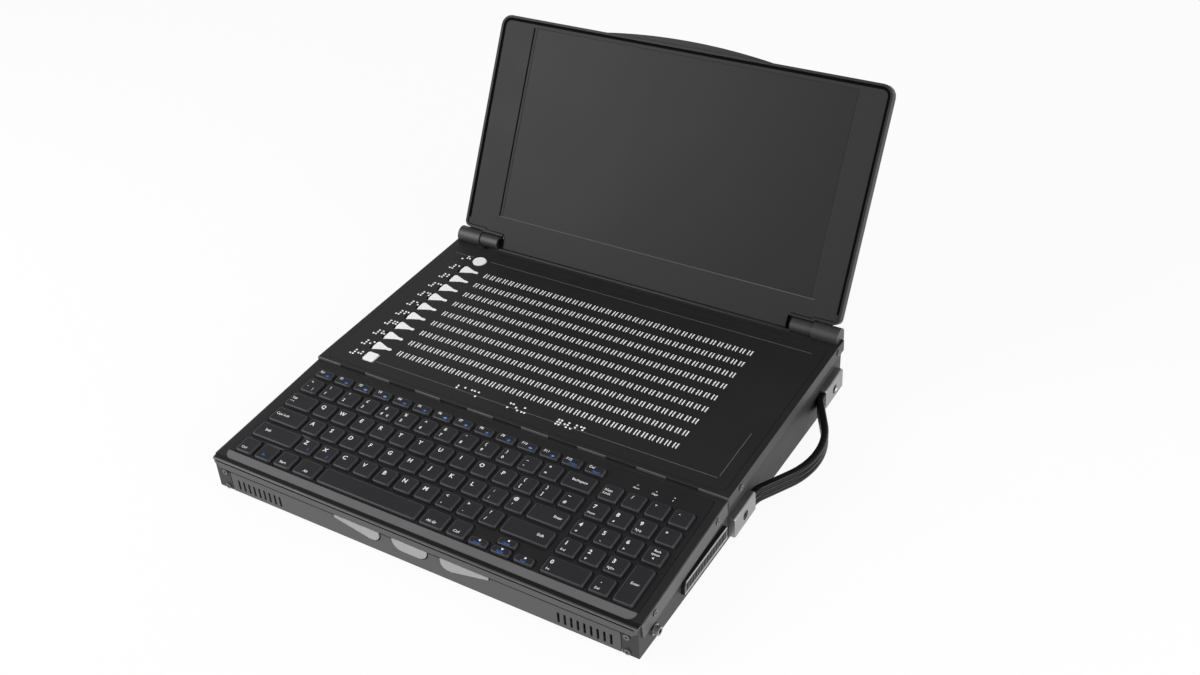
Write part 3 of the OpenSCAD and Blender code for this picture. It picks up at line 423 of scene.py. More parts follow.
class BrailleTouchLooks(bpy.types.PropertyGroup):
    """Colours and sizes of what the fingers touch."""

    key: colour_prop("Keys", "Colour of the key caps", (0.0172, 0.0168, 0.019))
    tray: colour_prop("Keyboard frame", "Colour of the frame between the keys", (0.008, 0.0079, 0.009))
    legend: colour_prop("Legends", "Colour of the main legends", (0.85, 0.85, 0.85))
    second_legend: colour_prop("Second legends", "Colour of the second legends", (0.03, 0.14, 0.62))
    wheel: colour_prop("Dot wheels", "Colour of the dot wheels", (0.95, 0.95, 0.94))
    button: colour_prop("Deck buttons", "Colour of the deck buttons and braille marks", (0.95, 0.95, 0.94))
    thumb: colour_prop("Thumb keys", "Colour of the keys on the front edge", (0.34, 0.34, 0.336))
    key_edge: length_prop("Key edge", "Rounding of a key cap's top edge", 0.0007, 0.0002, 0.0012)
    dot: length_prop("Dot radius", "Radius of a raised braille mark's dot", 0.00088, 0.0004, 0.001)


class BrailleStageLooks(bpy.types.PropertyGroup):
    """Light and floor."""

    key_light: bpy.props.FloatProperty(
        name="Main light", description="Strength of the light from the front left",
        subtype="POWER", unit="POWER", default=13.8, min=0.0)
    fill_light: bpy.props.FloatProperty(
        name="Fill light", description="Strength of the low light from the right",
        subtype="POWER", unit="POWER", default=12.0, min=0.0)
    sky: bpy.props.FloatProperty(
        name="Sky", description="Strength of the even light from all round", subtype="FACTOR",
        default=0.4, min=0.0, max=2.0)
    floor: colour_prop("Floor", "Colour of the floor", (0.9, 0.9, 0.9))


def case_looks():
    return bpy.context.scene.braille_case


def touch_looks():
    return bpy.context.scene.braille_touch


# Pieces: faces narrower than a strip are shaded round, and shorter edges of sheets stay sharp, in metres

ROUND_STRIP, SHEET_EDGE = 0.003, 0.0021


def mesh_of(name, bm):
    """Writes a shape to a new mesh and frees it."""
    mesh = bpy.data.meshes.new(name)
    bm.to_mesh(mesh)
    bm.free()
    return mesh


def linked(name, data):
    """A new object in the scene."""
    made = bpy.data.objects.new(name, data)
    bpy.context.scene.collection.objects.link(made)
    return made


def add_piece(name, bm, material, body, nodes=(), smooth=40.0):
    """Turns a shape into a piece that rides on a body and may stand for CAD nodes."""
    round_faces = [narrow(face, ROUND_STRIP) for face in bm.faces]
    mesh = mesh_of(name, bm)
    mesh.set_sharp_from_angle(angle=math.radians(smooth))
    mesh.polygons.foreach_set("use_smooth", round_faces)
    mesh.materials.append(material)
    piece = linked(name, mesh)
    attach(piece, body)
    if nodes:
        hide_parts(*nodes)
    return piece


def dress(nodes, material):
    """Gives CAD nodes that stay as they are their finish."""
    for name in nodes:
        mesh = frame["nodes"][name].data
        mesh.materials.clear()
        mesh.materials.append(material)


def body_of_node(node):
    bodies = frame["record"]["behaviour"]["bodies"]
    return next(body for body, nodes in bodies.items() if node in nodes)


def narrow(face, width):
    """Whether a face is a strip that is less than width wide."""
    return face.calc_area() < width * max(edge.calc_length() for edge in face.edges)


def bevel(bm, edges, width, segments=2):
    """Rounds edges and marks the new faces as edge strips, which the finishes paint paler for wear and as a
    painted highlight.
    """
    layer = bm.faces.layers.float["wear"]
    made = bmesh.ops.bevel(bm, geom=edges, offset=width, offset_type="OFFSET", affect="EDGES",
                           segments=segments, profile=0.5, material=-1, clamp_overlap=True, loop_slide=True)
    for face in made["faces"]:
        face[layer] = float(narrow(face, width))


def merged_copy(node):
    """A copy of a CAD node's mesh with its triangles joined into whole faces."""
    bm = bmesh.new()
    bm.from_mesh(frame["nodes"][node].data)
    bmesh.ops.remove_doubles(bm, verts=bm.verts, dist=2e-6)
    bmesh.ops.dissolve_limit(bm, angle_limit=math.radians(0.5), use_dissolve_boundaries=False,
                             verts=bm.verts, edges=bm.edges, delimit={"NORMAL"})
    bm.faces.layers.float.new("wear")
    return bm


def corner_edges(bm, shortest):
    """The sharp edges of a shape that are long enough to be rounded."""
    sharp = math.radians(35.0)
    return [e for e in bm.edges if len(e.link_faces) == 2 and e.calc_length() > shortest
            and e.calc_face_angle(0.0) > sharp]


def bend_edges(bm):
    """The long outer edges where a sheet is folded down."""
    near_side, near_front, shortest = 0.0012, 0.0003, 0.02
    left, right = min(v.co.x for v in bm.verts), max(v.co.x for v in bm.verts)
    front = min(v.co.y for v in bm.verts)
    found = []
    for edge in bm.edges:
        middle = (edge.verts[0].co + edge.verts[1].co) / 2
        slopes = sorted(face.normal.z for face in edge.link_faces)
        folded = abs(slopes[0]) < 0.3 and slopes[-1] > 0.9
        outer = min(middle.x - left, right - middle.x) < near_side or middle.y - front < near_front
        if outer and folded and edge.calc_length() > shortest:
            found.append(edge)
    return found


def upright(normal, middle):
    """Whether a face stands upright."""
    return abs(normal.z) < 0.6


def resized(bm, axes, scale, step):
    """Scales a shape about its own middle and moves it, along the axes of one of the frames."""
    settle(bm, axes.inverted())
    low = Vector([min(v.co[i] for v in bm.verts) for i in range(3)])
    high = Vector([max(v.co[i] for v in bm.verts) for i in range(3)])
    middle = (low + high) / 2
    settle(bm, axes @ shift(*(middle + Vector(step))) @ Matrix.Diagonal((*scale, 1.0)) @ shift(*-middle))


def soften(node, material, width, shortest, segments=2, extra=(), bend=0.0, shape=None):
    """Replaces a CAD node by a rounded copy; extra holds more finishes, each with a test for its faces."""
    bm = merged_copy(node)
    if shape:
        shape(bm)
    if bend:
        bevel(bm, bend_edges(bm), bend, 4)
    bevel(bm, corner_edges(bm, shortest), width, segments)
    bmesh.ops.dissolve_degenerate(bm, dist=1e-6, edges=bm.edges)
    piece = add_piece(node + "_skin", bm, material, body_of_node(node), (node,))
    for index, (finish, chosen) in enumerate(extra, 1):
        piece.data.materials.append(finish)
        for face in piece.data.polygons:
            if chosen(face.normal, face.center):
                face.material_index = index


def box_part(bm, low, high):
    """A box between two corners."""
    verts = bmesh.ops.create_cube(bm, size=1.0)["verts"]
    low, high = Vector(low), Vector(high)
    bmesh.ops.scale(bm, vec=high - low, verts=verts)
    bmesh.ops.translate(bm, vec=(low + high) / 2, verts=verts)


def settle(bm, matrix):
    """Moves a shape by a matrix, such as a frame that a shape in millimetres was drawn on."""
    bmesh.ops.transform(bm, matrix=matrix, verts=bm.verts)


def box_piece(name, boxes, axes, material, body):
    """A piece made of boxes, each given by two corners on one of the frames."""
    bm = bmesh.new()
    for low, high in boxes:
        box_part(bm, low, high)
    settle(bm, axes)
    add_piece(name, bm, material, body)


def key_cap(key, edge):
    """One key cap: a box with sloping sides, rounded corners and a soft top edge."""
    x, y, w, d = key
    low, near_top = KEY_PROUD - KEY_H, KEY_PROUD - 0.01
    bm = bmesh.new()
    bm.faces.layers.float.new("wear")
    box_part(bm, (-w / 2, -d / 2, low), (w / 2, d / 2, KEY_PROUD))
    tall = [e for e in bm.edges if abs(e.verts[0].co.z - e.verts[1].co.z) > KEY_H / 2]
    bmesh.ops.subdivide_edges(bm, edges=tall, cuts=1, use_grid_fill=True)
    top = [v for v in bm.verts if v.co.z > near_top]
    bmesh.ops.scale(bm, vec=((w - 2 * KEY_DRAFT) / w, (d - 2 * KEY_DRAFT) / d, 1.0), verts=top)
    tall = [e for e in bm.edges if abs(e.verts[0].co.z - e.verts[1].co.z) > 0.5]
    bmesh.ops.bevel(bm, geom=tall, offset=KEY_CORNER, offset_type="OFFSET", affect="EDGES", segments=4,
                    profile=0.5, material=-1, clamp_overlap=True)
    rim = [e for e in bm.edges if min(v.co.z for v in e.verts) > near_top and e.calc_face_angle(0.0) > 0.5]
    bevel(bm, rim, edge, 3)
    bmesh.ops.translate(bm, vec=(x, y, 0), verts=bm.verts)
    return bm


def join(bm, part):
    """Adds one shape to another and frees it."""
    mesh = mesh_of("part", part)
    bm.from_mesh(mesh)
    bpy.data.meshes.remove(mesh)


class BRAILLE_OT_keys(bpy.types.Operator):
    """Key caps of the seven groups of keys"""

    bl_idname = "braille.keys"
    bl_label = "Key caps"

    def execute(self, context):
        looks = touch_looks()
        plastic = grained("key_cap_plastic", looks.key, 0.44, grain=2600.0, depth=0.00002, sheen=0.24,
                          wear=3.4)
        for group, keys in KEY_GROUPS.items():
            bm = bmesh.new()
            bm.faces.layers.float.new("wear")
            for key in keys:
                join(bm, key_cap(key, looks.key_edge * 1000))
            settle(bm, KEYBOARD)
            add_piece(group + "_caps", bm, plastic, group + "_body", (group,))
        return {"FINISHED"}


# Share of a capital in the font's size, and by how much of its height a letter or a word is drawn bolder
CAP_SHARE, BOLD_LETTER, BOLD_WORD = 0.72, 0.034, 0.016


def word_mesh(text, height):
    """Flat mesh of a legend whose capitals are height tall, centred on its own middle, in millimetres."""
    curve = bpy.data.curves.new("legend", "FONT")
    curve.body = text
    curve.size = height / CAP_SHARE
    curve.align_x = "CENTER"
    curve.align_y = "CENTER"
    curve.resolution_u = 2
    curve.offset = height * (BOLD_LETTER if len(text) < 3 else BOLD_WORD)
    holder = linked("legend", curve)
    graph = bpy.context.evaluated_depsgraph_get()
    graph.update()
    mesh = bpy.data.meshes.new_from_object(holder.evaluated_get(graph))
    bpy.data.objects.remove(holder)
    bpy.data.curves.remove(curve)
    return mesh


# Plain marks: corners, turn in degrees and how wide for their height
MARKS = {"up": (3, 0, 1), "left": (3, 90, 1), "down": (3, 180, 1), "right": (3, 270, 1),
         "house": (5, 0, 1.2), "bar": (4, 45, 2.4), "disc": (14, 0, 1.7)}

# Indicators behind the number pad: their places across, their words and how high the print lies
INDICATORS = (116.2, "Num"), (130.5, "Caps"), (144.4, "1")
INDICATOR_WORD_Y, INDICATOR_BAR_Y, INDICATOR_Z = 104.6, 107.6, 0.34


def add_word(bm, text, height, x, y, z):
    """Puts a legend, or a plain mark whose radius is its height, flat on a surface."""
    if text in MARKS:
        corners, angle, wide = MARKS[text]
        made = bmesh.ops.create_circle(bm, cap_ends=True, radius=height, segments=corners)["verts"]
        bmesh.ops.transform(bm, matrix=Matrix.Rotation(math.radians(angle), 4, "Z"), verts=made)
        bmesh.ops.scale(bm, vec=(wide, 1.0, 1.0), verts=made)
        bmesh.ops.translate(bm, vec=(x, y, z), verts=made)
        return
    mesh = word_mesh(text, height)
    mesh.transform(shift(x, y, z))
    bm.from_mesh(mesh)
    bpy.data.meshes.remove(mesh)


class BRAILLE_OT_legends(bpy.types.Operator):
    """White and blue legends on the key tops, and the indicator marks"""

    bl_idname = "braille.legends"
    bl_label = "Key legends"

    def execute(self, context):
        looks = touch_looks()
        inks = {"white": smooth_finish("legend_white", looks.legend, 0.5),
                "blue": smooth_finish("legend_blue", looks.second_legend, 0.5),
                "deep": smooth_finish("legend_deep", [c * 0.4 for c in looks.second_legend], 0.5),
                "pale": smooth_finish("legend_pale", (0.22, 0.4, 0.75), 0.5)}
        for group, keys in KEY_GROUPS.items():
            sheets = {ink: bmesh.new() for ink in inks}
            for key, legends in zip(keys, LEGENDS[group]):
                for text, height, x, y, ink in legends:
                    lift = 0.06 if ink == "pale" else 0.03
                    add_word(sheets[ink], text, height, key[0] + x, key[1] + y, KEY_PROUD + lift)
            for ink, bm in sheets.items():
                if not bm.faces:
                    bm.free()
                    continue
                settle(bm, KEYBOARD)
                name = group + "_" + ink + "_legends"
                add_piece(name, bm, inks[ink], group + "_body")
        bm = bmesh.new()
        for x, text in INDICATORS:
            add_word(bm, text, 1.6, x, INDICATOR_WORD_Y, INDICATOR_Z)
            add_word(bm, "-", 2.6, x, INDICATOR_BAR_Y, INDICATOR_Z)
        settle(bm, KEYBOARD)
        add_piece("indicator_marks", bm, inks["white"], "case")
        return {"FINISHED"}


# Braille marks: where line numbers start, where the words at the plate's foot stand and how flat a dot is
MARK_X, FOOT_MARK_Y, DOT_FLAT = -157.0, 16.4, 0.55

# Two corners of each thin grey line on the plate, painted highlights along the edges of its top
PLATE_HIGHLIGHT_LINES = (((-166.0, 167.8, -0.05), (-147.0, 168.15, 0.06)),
               ((-130.5, 167.8, -0.05), (162.5, 168.15, 0.06)),
               ((-131.5, 14.65, -0.05), (162.0, 15.0, 0.06)),
               ((162.2, 17.0, -0.05), (162.55, 66.0, 0.06)))


def braille(bm, signs, x, y, radius):
    """Raised dots of a few braille signs, the first sign's left column at x and its middle row at y."""
    for i, sign in enumerate(signs):
        for dot in SIGNS[sign]:
            column, row = divmod(int(dot) - 1, 3)
            made = bmesh.ops.create_uvsphere(bm, u_segments=10, v_segments=6, radius=radius)["verts"]
            bmesh.ops.scale(bm, vec=(1.0, 1.0, DOT_FLAT), verts=made)
            place = (x + CELL_PITCH * i + DOT_PITCH * column, y + DOT_PITCH * (1 - row), 0.0)
            bmesh.ops.translate(bm, vec=place, verts=made)


class BRAILLE_OT_marks(bpy.types.Operator):
    """Raised braille marks, and thin grey lines on the plate that are painted highlights along its edges"""

    bl_idname = "braille.marks"
    bl_label = "Braille marks"

    def execute(self, context):
        looks = touch_looks()
        radius = looks.dot * 1000
        bm = bmesh.new()
        for line in range(1, LINES + 1):
            braille(bm, ("number", "abcdefghi"[line - 1]), MARK_X, line_y(line), radius)
        braille(bm, ("number", "j"), MARK_X - 0.4, line_y(LINES) - LINE_PITCH + 0.8, radius)
        braille(bm, ("capital", "h"), MARK_X - 0.6, line_y(1) + LINE_PITCH + 0.9, radius)
        braille(bm, "back", -56.0, FOOT_MARK_Y, radius)
        braille(bm, ("m", "en", "u"), -8.8, FOOT_MARK_Y, radius)
        braille(bm, ("for", "w", "ar", "d"), 33.0, FOOT_MARK_Y, radius)
        settle(bm, DECK)
        white = smooth_finish("mark_white", looks.button, 0.4)
        add_piece("plate_braille_marks", bm, white, "case")
        # Painted highlights along the plate's edges
        ink = smooth_finish("line_grey", grey(0.15), 0.45)
        box_piece("plate_highlight_lines", PLATE_HIGHLIGHT_LINES, DECK, ink, "case")
        return {"FINISHED"}


def wheel_finish(colour):
    """White wheels whose sides are painted dark as painted shade, told apart by the wheels' places across the
    lines.
    """
    lead, skin = 1.0, 0.02
    first = (CASE @ Vector((-(CELLS - 1) * CELL_PITCH / 2 - DOT_PITCH / 2, 0.0, 0.0))).x * 1000

    def build(wire):
        cells = (wire.place(0) * 1000.0 - (first - lead)) * (1.0 / CELL_PITCH)
        across = wire.maths("FRACT", cells, 0.0) * CELL_PITCH
        off = [wire.maths("ABSOLUTE", across - middle, 0.0) for middle in (lead, lead + DOT_PITCH)]
        side = wire.maths("MINIMUM", off[0], off[1]).above(WHEEL_T / 2 - skin)
        clouds = wire.noise(60.0, 4.0)
        tone = wire.mix(clouds, lighter(colour, 0.93), lighter(colour, 1.05))
        # Painted shade on the wheels' sides
        tone = wire.mix(side, tone, grey(0.03))
        return {"Base Color": tone, "Roughness": 0.4 + (clouds - 0.5) * 0.2}
    return finish_of("dot_wheel_plastic", build)


class BRAILLE_OT_mechanism(bpy.types.Operator):
    """Finishes of the slotted plate, the dot wheels, the deck buttons and the inner works"""

    bl_idname = "braille.mechanism"
    bl_label = "Braille lines and buttons"

    def execute(self, context):
        touch = touch_looks()
        case = case_looks()
        coat = grained("plate_coat", case.sheet, 0.5, grain=1700.0, depth=0.00002, sheen=0.28)
        dress(["braille_plate"], coat)
        dress(["rotor_line_%d" % n for n in range(1, LINES + 1)], wheel_finish(touch.wheel))
        white = smooth_finish("deck_button_plastic", touch.button, 0.35)
        pointers = ["line_button_%d" % n for n in range(1, LINES + 1)]
        for node in ["round_button", "square_button"] + pointers:
            fit = POINTER_FIT if node in pointers else BUTTON_FIT
            soften(node, white, 0.00022, 0.0004, shape=lambda bm: resized(bm, DECK, *fit))
        metal = brushed("frame_metal", grey(0.5), 0.4)
        dress(["rotor_frame_left", "rotor_frame_right", "line_motors", "hinge_pins"], metal)
        board = grained("board_lacquer", (0.02, 0.09, 0.05), 0.4, grain=900.0, wear=1.4)
        dress(["button_board", "main_board"], board)
        return {"FINISHED"}


def grille_finish():
    """Black grille whose outer face is painted paler than its other faces as painted light: grey above and
    below the ribs, dark grey on them.
    """
    low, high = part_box("speaker_grille")
    border_h, skin = 0.0017, 0.00006

    def build(wire):
        height, out = wire.place(2), wire.place(0)
        border = (1.0 - height.above(low[2] + border_h)).top(height.above(high[2] - border_h))
        face = out.above(high[0] - skin)
        clouds = wire.noise(40.0, 4.0)
        ribs = wire.mix(border, grey(0.1), wire.mix(clouds, grey(0.28), grey(0.4)))
        # Only the outer face gets the greys: painted light
        tone = wire.mix(face, grey(0.008), ribs)
        return {"Base Color": tone, "Roughness": 0.45 + clouds * 0.15, "Specular IOR Level": 0.3}
    return finish_of("grille_moulding", build)


def case_y(depth):
    """Where a depth behind the case's front edge lies in the part's own frame."""
    return (CASE @ Vector((0.0, depth, 0.0))).y


def tray_rim(normal, middle):
    """Whether a face is the sloping front rim of the keyboard frame, which is painted paler as painted light.
    """
    return normal.y < -0.2 and normal.z > 0.8 and middle.y < case_y(KEYBOARD_FRONT + KEYBOARD_RIM)


def front_tab(normal, middle):
    """Whether a face of the display deck is the front of one of its tabs, which gets the panel finish as
    painted light.
    """
    return normal.y < -0.25 and middle.y < case_y(KEYBOARD_D) + 0.00045


def painted_front_shade(wire, tone):
    """Paints shade on the strip in front of the keyboard frame."""
    return wire.mix(wire.place(1).above(case_y(KEYBOARD_FRONT)), grey(0.0022), tone)


# Two corners of each dark line at the joints under the keyboard deck's front bend and under its flange,
# painted shadow of the overhangs above them
FRONT_SHADOW_LINES = (((-173.5, 0.33, FRONT_TOP - 2.9), (173.5, 0.45, FRONT_TOP - 1.6)),
               ((-170.0, 1.22, FRONT_TOP - 9.9), (170.0, 1.34, FRONT_TOP - 8.3)))


class BRAILLE_OT_case(bpy.types.Operator):
    """Coated sheets of the case, the keyboard frame, grille, feet and screws"""

    bl_idname = "braille.case"
    bl_label = "Case"

    def execute(self, context):
        looks = case_looks()
        fold, bend = looks.fold, looks.bend
        sheet = grained("sheet_coat", looks.sheet, 0.48, grain=1700.0, sheen=0.3, wear=1.2)
        panel = grained("panel_coat", looks.panel, 0.5, wear=1.6)
        # The deck sheets' upright faces and the display deck's tab fronts get paler finishes than their tops:
        # painted light
        flange = grained("flange_coat", [c * 0.6 for c in looks.panel], 0.5, sheen=0.4, wear=1.4)
        soften("display_deck", sheet, fold, SHEET_EDGE, bend=bend,
               extra=((flange, upright), (panel, front_tab)))
        # The keyboard deck's top, with painted shade on the strip in front of the keyboard frame
        strip = grained("strip_coat", looks.sheet, 0.48, grain=1700.0, sheen=0.3, wear=5.0, tint=painted_front_shade)
        # The keyboard deck's upright faces take the paler panel finish: painted light
        soften("keyboard_deck", strip, fold, SHEET_EDGE, bend=bend, extra=((panel, upright),))
        # Dark lines under the front bend and the flange: painted shadow at the joints
        box_piece("front_joint_shadow_lines", FRONT_SHADOW_LINES, CASE, joint_black(), "case")
        soften("front_panel", panel, fold, 0.012, shape=self.tall_vents)
        # The side and rear panels take the panel colour darkened: painted shade
        wall = grained("wall_coat", [c * 0.42 for c in looks.panel], 0.52, sheen=0.35, wear=1.6)
        for node in ("left_side_panel", "right_side_panel", "rear_panel"):
            soften(node, wall, fold, SHEET_EDGE)
        dress(["base_pan"], panel)
        tray_tone = touch_looks().tray
        tray = grained("tray_plastic", tray_tone, 0.42, grain=2200.0, depth=0.00002, sheen=0.4, wear=4.0)
        # The frame's sloping front rim takes a paler plastic than the rest: painted light
        rim = grained("tray_rim_plastic", (0.105, 0.105, 0.104), 0.5, grain=2200.0, depth=0.00002, sheen=0.4)
        soften("keyboard_tray", tray, 0.0003, 0.0008, extra=((rim, tray_rim),))
        rubber = grained("foot_rubber", grey(0.012), 0.8, grain=900.0, depth=0.00008, sheen=0.3)
        dress(["rubber_feet"], rubber)
        dress(["case_screws"], smooth_finish("screw_grey", grey(0.17), 0.3, metal=0.9))
        dress(["speaker_grille"], grille_finish())
        dress(["speaker", "power_socket"], grained("socket_moulding", grey(0.012), 0.55, wear=3.0))
        dress(["headphone_socket"], brushed("socket_metal", (0.36, 0.36, 0.355), 0.3))
        return {"FINISHED"}

    @staticmethod
    def tall_vents(bm):
        """Makes the vent slots a little taller and wider."""
        settle(bm, CASE.inverted())
        low, high = VENT_LOW - 0.1, VENT_LOW + VENT_H + 0.1
        for vert in bm.verts:
            across, up = abs(vert.co.x), vert.co.z
            place = round((VENT_OUTER - across) / VENT_PITCH)
            middle = VENT_OUTER - place * VENT_PITCH
            if 0 <= place < VENTS and abs(across - middle) < VENT_W and low < up < high:
                wide = (across - middle) * VENT_WIDER + middle
                vert.co.x = math.copysign(wide, vert.co.x)
                vert.co.z = VENT_LOW + VENT_RAISE + (up - VENT_LOW) * VENT_TALLER
        settle(bm, CASE)


class BRAILLE_OT_thumb_keys(bpy.types.Operator):
    """Three grey keys on the front edge"""

    bl_idname = "braille.thumb_keys"
    bl_label = "Thumb keys"

    def execute(self, context):
        thumb = touch_looks().thumb
        plastic = grained("thumb_key_plastic", thumb, 0.4, grain=900.0, depth=0.00006, wear=1.25)
        for side in ("left", "middle", "right"):
            node = "thumb_key_" + side
            joint = merged_copy(node)
            resized(joint, CASE, *THUMB_JOINT_FIT)
            add_piece(node + "_joint", joint, joint_black(), node + "_body")
            soften(node, plastic, 0.00042, 0.0004, 3,
                   shape=lambda bm: resized(bm, CASE, *THUMB_FIT))
        return {"FINISHED"}


class BRAILLE_OT_lid(bpy.types.Operator):
    """Lid shell, bezel, screen and hinge"""

    bl_idname = "braille.lid"
    bl_label = "Lid"

    def execute(self, context):
        looks = case_looks()
        shell = grained("lid_moulding", looks.sheet, 0.42, grain=1800.0, depth=0.00002, sheen=0.25, wear=3.0)
        soften("lid_shell", shell, looks.lid_edge, SHEET_EDGE)
        bezel = grained("bezel_moulding", looks.bezel, 0.5, grain=2200.0, depth=0.00002, sheen=0.22, wear=1.6)
        soften("lid_bezel", bezel, 0.0002, SHEET_EDGE)
        film = grained("screen_film", looks.screen, 0.42, grain=3000.0, depth=0.00001, sheen=0.22, cloud=8.0)
        dress(["screen_panel"], film)
        paint = grained("hinge_paint", (0.03, 0.03, 0.0302), 0.42, wear=2.4)
        soften("hinge_knuckles", paint, 0.0006, 0.002)
        soften("hinge_barrels", paint, 0.0003, 0.002)
        self.screen_lines()
        self.rim_groove()
        self.foot_seal(shell)
        return {"FINISHED"}

    @staticmethod
    def foot_seal(shell):
        """Strips that close the lid's foot beside the knuckles and behind the barrels."""
        knuckle_span = NOTCH_X + 0.8, CASE_W / 2 - LID_INSET - 5.2
        barrel_span = NOTCH_X - 18.1, NOTCH_X - 0.3
        margin, boxes = 0.9, []
        for side in (-1.0, 1.0):
            left, right = sorted(side * x for x in knuckle_span)
            boxes.append(((left, -LID_LOW - 0.4, -LID_FRONT + margin),
                          (right, -LID_LOW + 0.5, LID_BACK - margin)))
            left, right = sorted(side * x for x in barrel_span)
            boxes.append(((left, -6.9, LID_BACK - margin), (right, -4.85, LID_BACK - 0.1)))
        box_piece("lid_foot_seal", boxes, LID, shell, "lid")

    @staticmethod
    def rim_path(inset):
        """Three sides of the lid's outline with its round upper corners, as (across, away from the hinge)."""
        foot, side, top = 16.0, CASE_W / 2 - LID_INSET - inset, LID_REACH - inset
        radius = LID_CORNER - inset
        points = [(side, foot)]
        for corner, start in ((side - radius, 0), (radius - side, 90)):
            for step in range(7):
                angle = math.radians(start + 15 * step)
                points.append((corner + radius * math.cos(angle), top - radius + radius * math.sin(angle)))
        return points + [(-side, foot)]

    def rim_groove(self):
        """The black joint between the lid's rim and the bezel."""
        insets, z = (2.35, 4.3), -BEZEL_Z - 0.04
        bm = bmesh.new()
        rings = [[bm.verts.new((x, -y, z)) for x, y in self.rim_path(inset)] for inset in insets]
        edges = [bm.edges.new(pair) for ring in rings for pair in zip(ring, ring[1:])]
        bmesh.ops.bridge_loops(bm, edges=edges)
        bmesh.ops.recalc_face_normals(bm, faces=bm.faces)
        if sum(face.normal.z for face in bm.faces) > 0:
            bmesh.ops.reverse_faces(bm, faces=bm.faces)
        settle(bm, LID)
        add_piece("lid_rim_groove", bm, joint_black(), "lid")

    @staticmethod
    def screen_lines():
        """Painted shade and light for the step round the screen: a dark line at its left and a pale painted
        highlight along its foot.
        """
        low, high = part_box("screen_panel")
        left, right = [(LID.inverted() @ Vector(corner)).x for corner in (low, high)]
        front, back = -BEZEL_Z - 0.05, -BEZEL_Z + 0.25
        shade = (left - 0.4, -SCREEN_HEAD, front), (left + 1.0, -SCREEN_FOOT, back)
        foot = (left, -SCREEN_FOOT - 0.3, front), (right, -SCREEN_FOOT + 0.3, back)
        # Painted shade on the left of the step and a painted highlight along its foot
        for name, tone, box in (("screen_shade_line", 0.002, shade), ("screen_foot_line", 0.11, foot)):
            finish = smooth_finish(name, grey(tone), 0.6, sheen=0.03)
            box_piece(name, [box], LID, finish, "lid")


# The strap in millimetres on the display deck's frame: its run, its section and its ribs
STRAP_START, STRAP_END, POCKET = 32.1, 152.518, 8.5
STRAP_MID_Z, STRAP_H, STRAP_R1, STRAP_LEAN = -27.2, 13.0, 20.0, math.radians(30.0)
STRAP_CHAMFER, RIB_PITCH, RIB_DEEP, RIB_TALL = 0.8, 4.35, 1.3, 2.1
TONGUE_T, TONGUE_H, TONGUE_LAP = 2.4, 8.0, 0.5


def strap_section():
    """Outline of the strap as (outward, up): flat inside with cut corners, three round ribs outside."""
    inside, half = -STRAP_T / 2, STRAP_H / 2
    points = [(inside + STRAP_CHAMFER, -half), (inside, -half + STRAP_CHAMFER),
              (inside, half - STRAP_CHAMFER), (inside + STRAP_CHAMFER, half)]
    for middle in (RIB_PITCH, 0.0, -RIB_PITCH):
        for step in range(7):
            angle = math.radians(90.0 - 30.0 * step)
            out = STRAP_T / 2 - RIB_DEEP + RIB_DEEP * math.cos(angle)
            points.append((out, middle + RIB_TALL * math.sin(angle)))
    return points


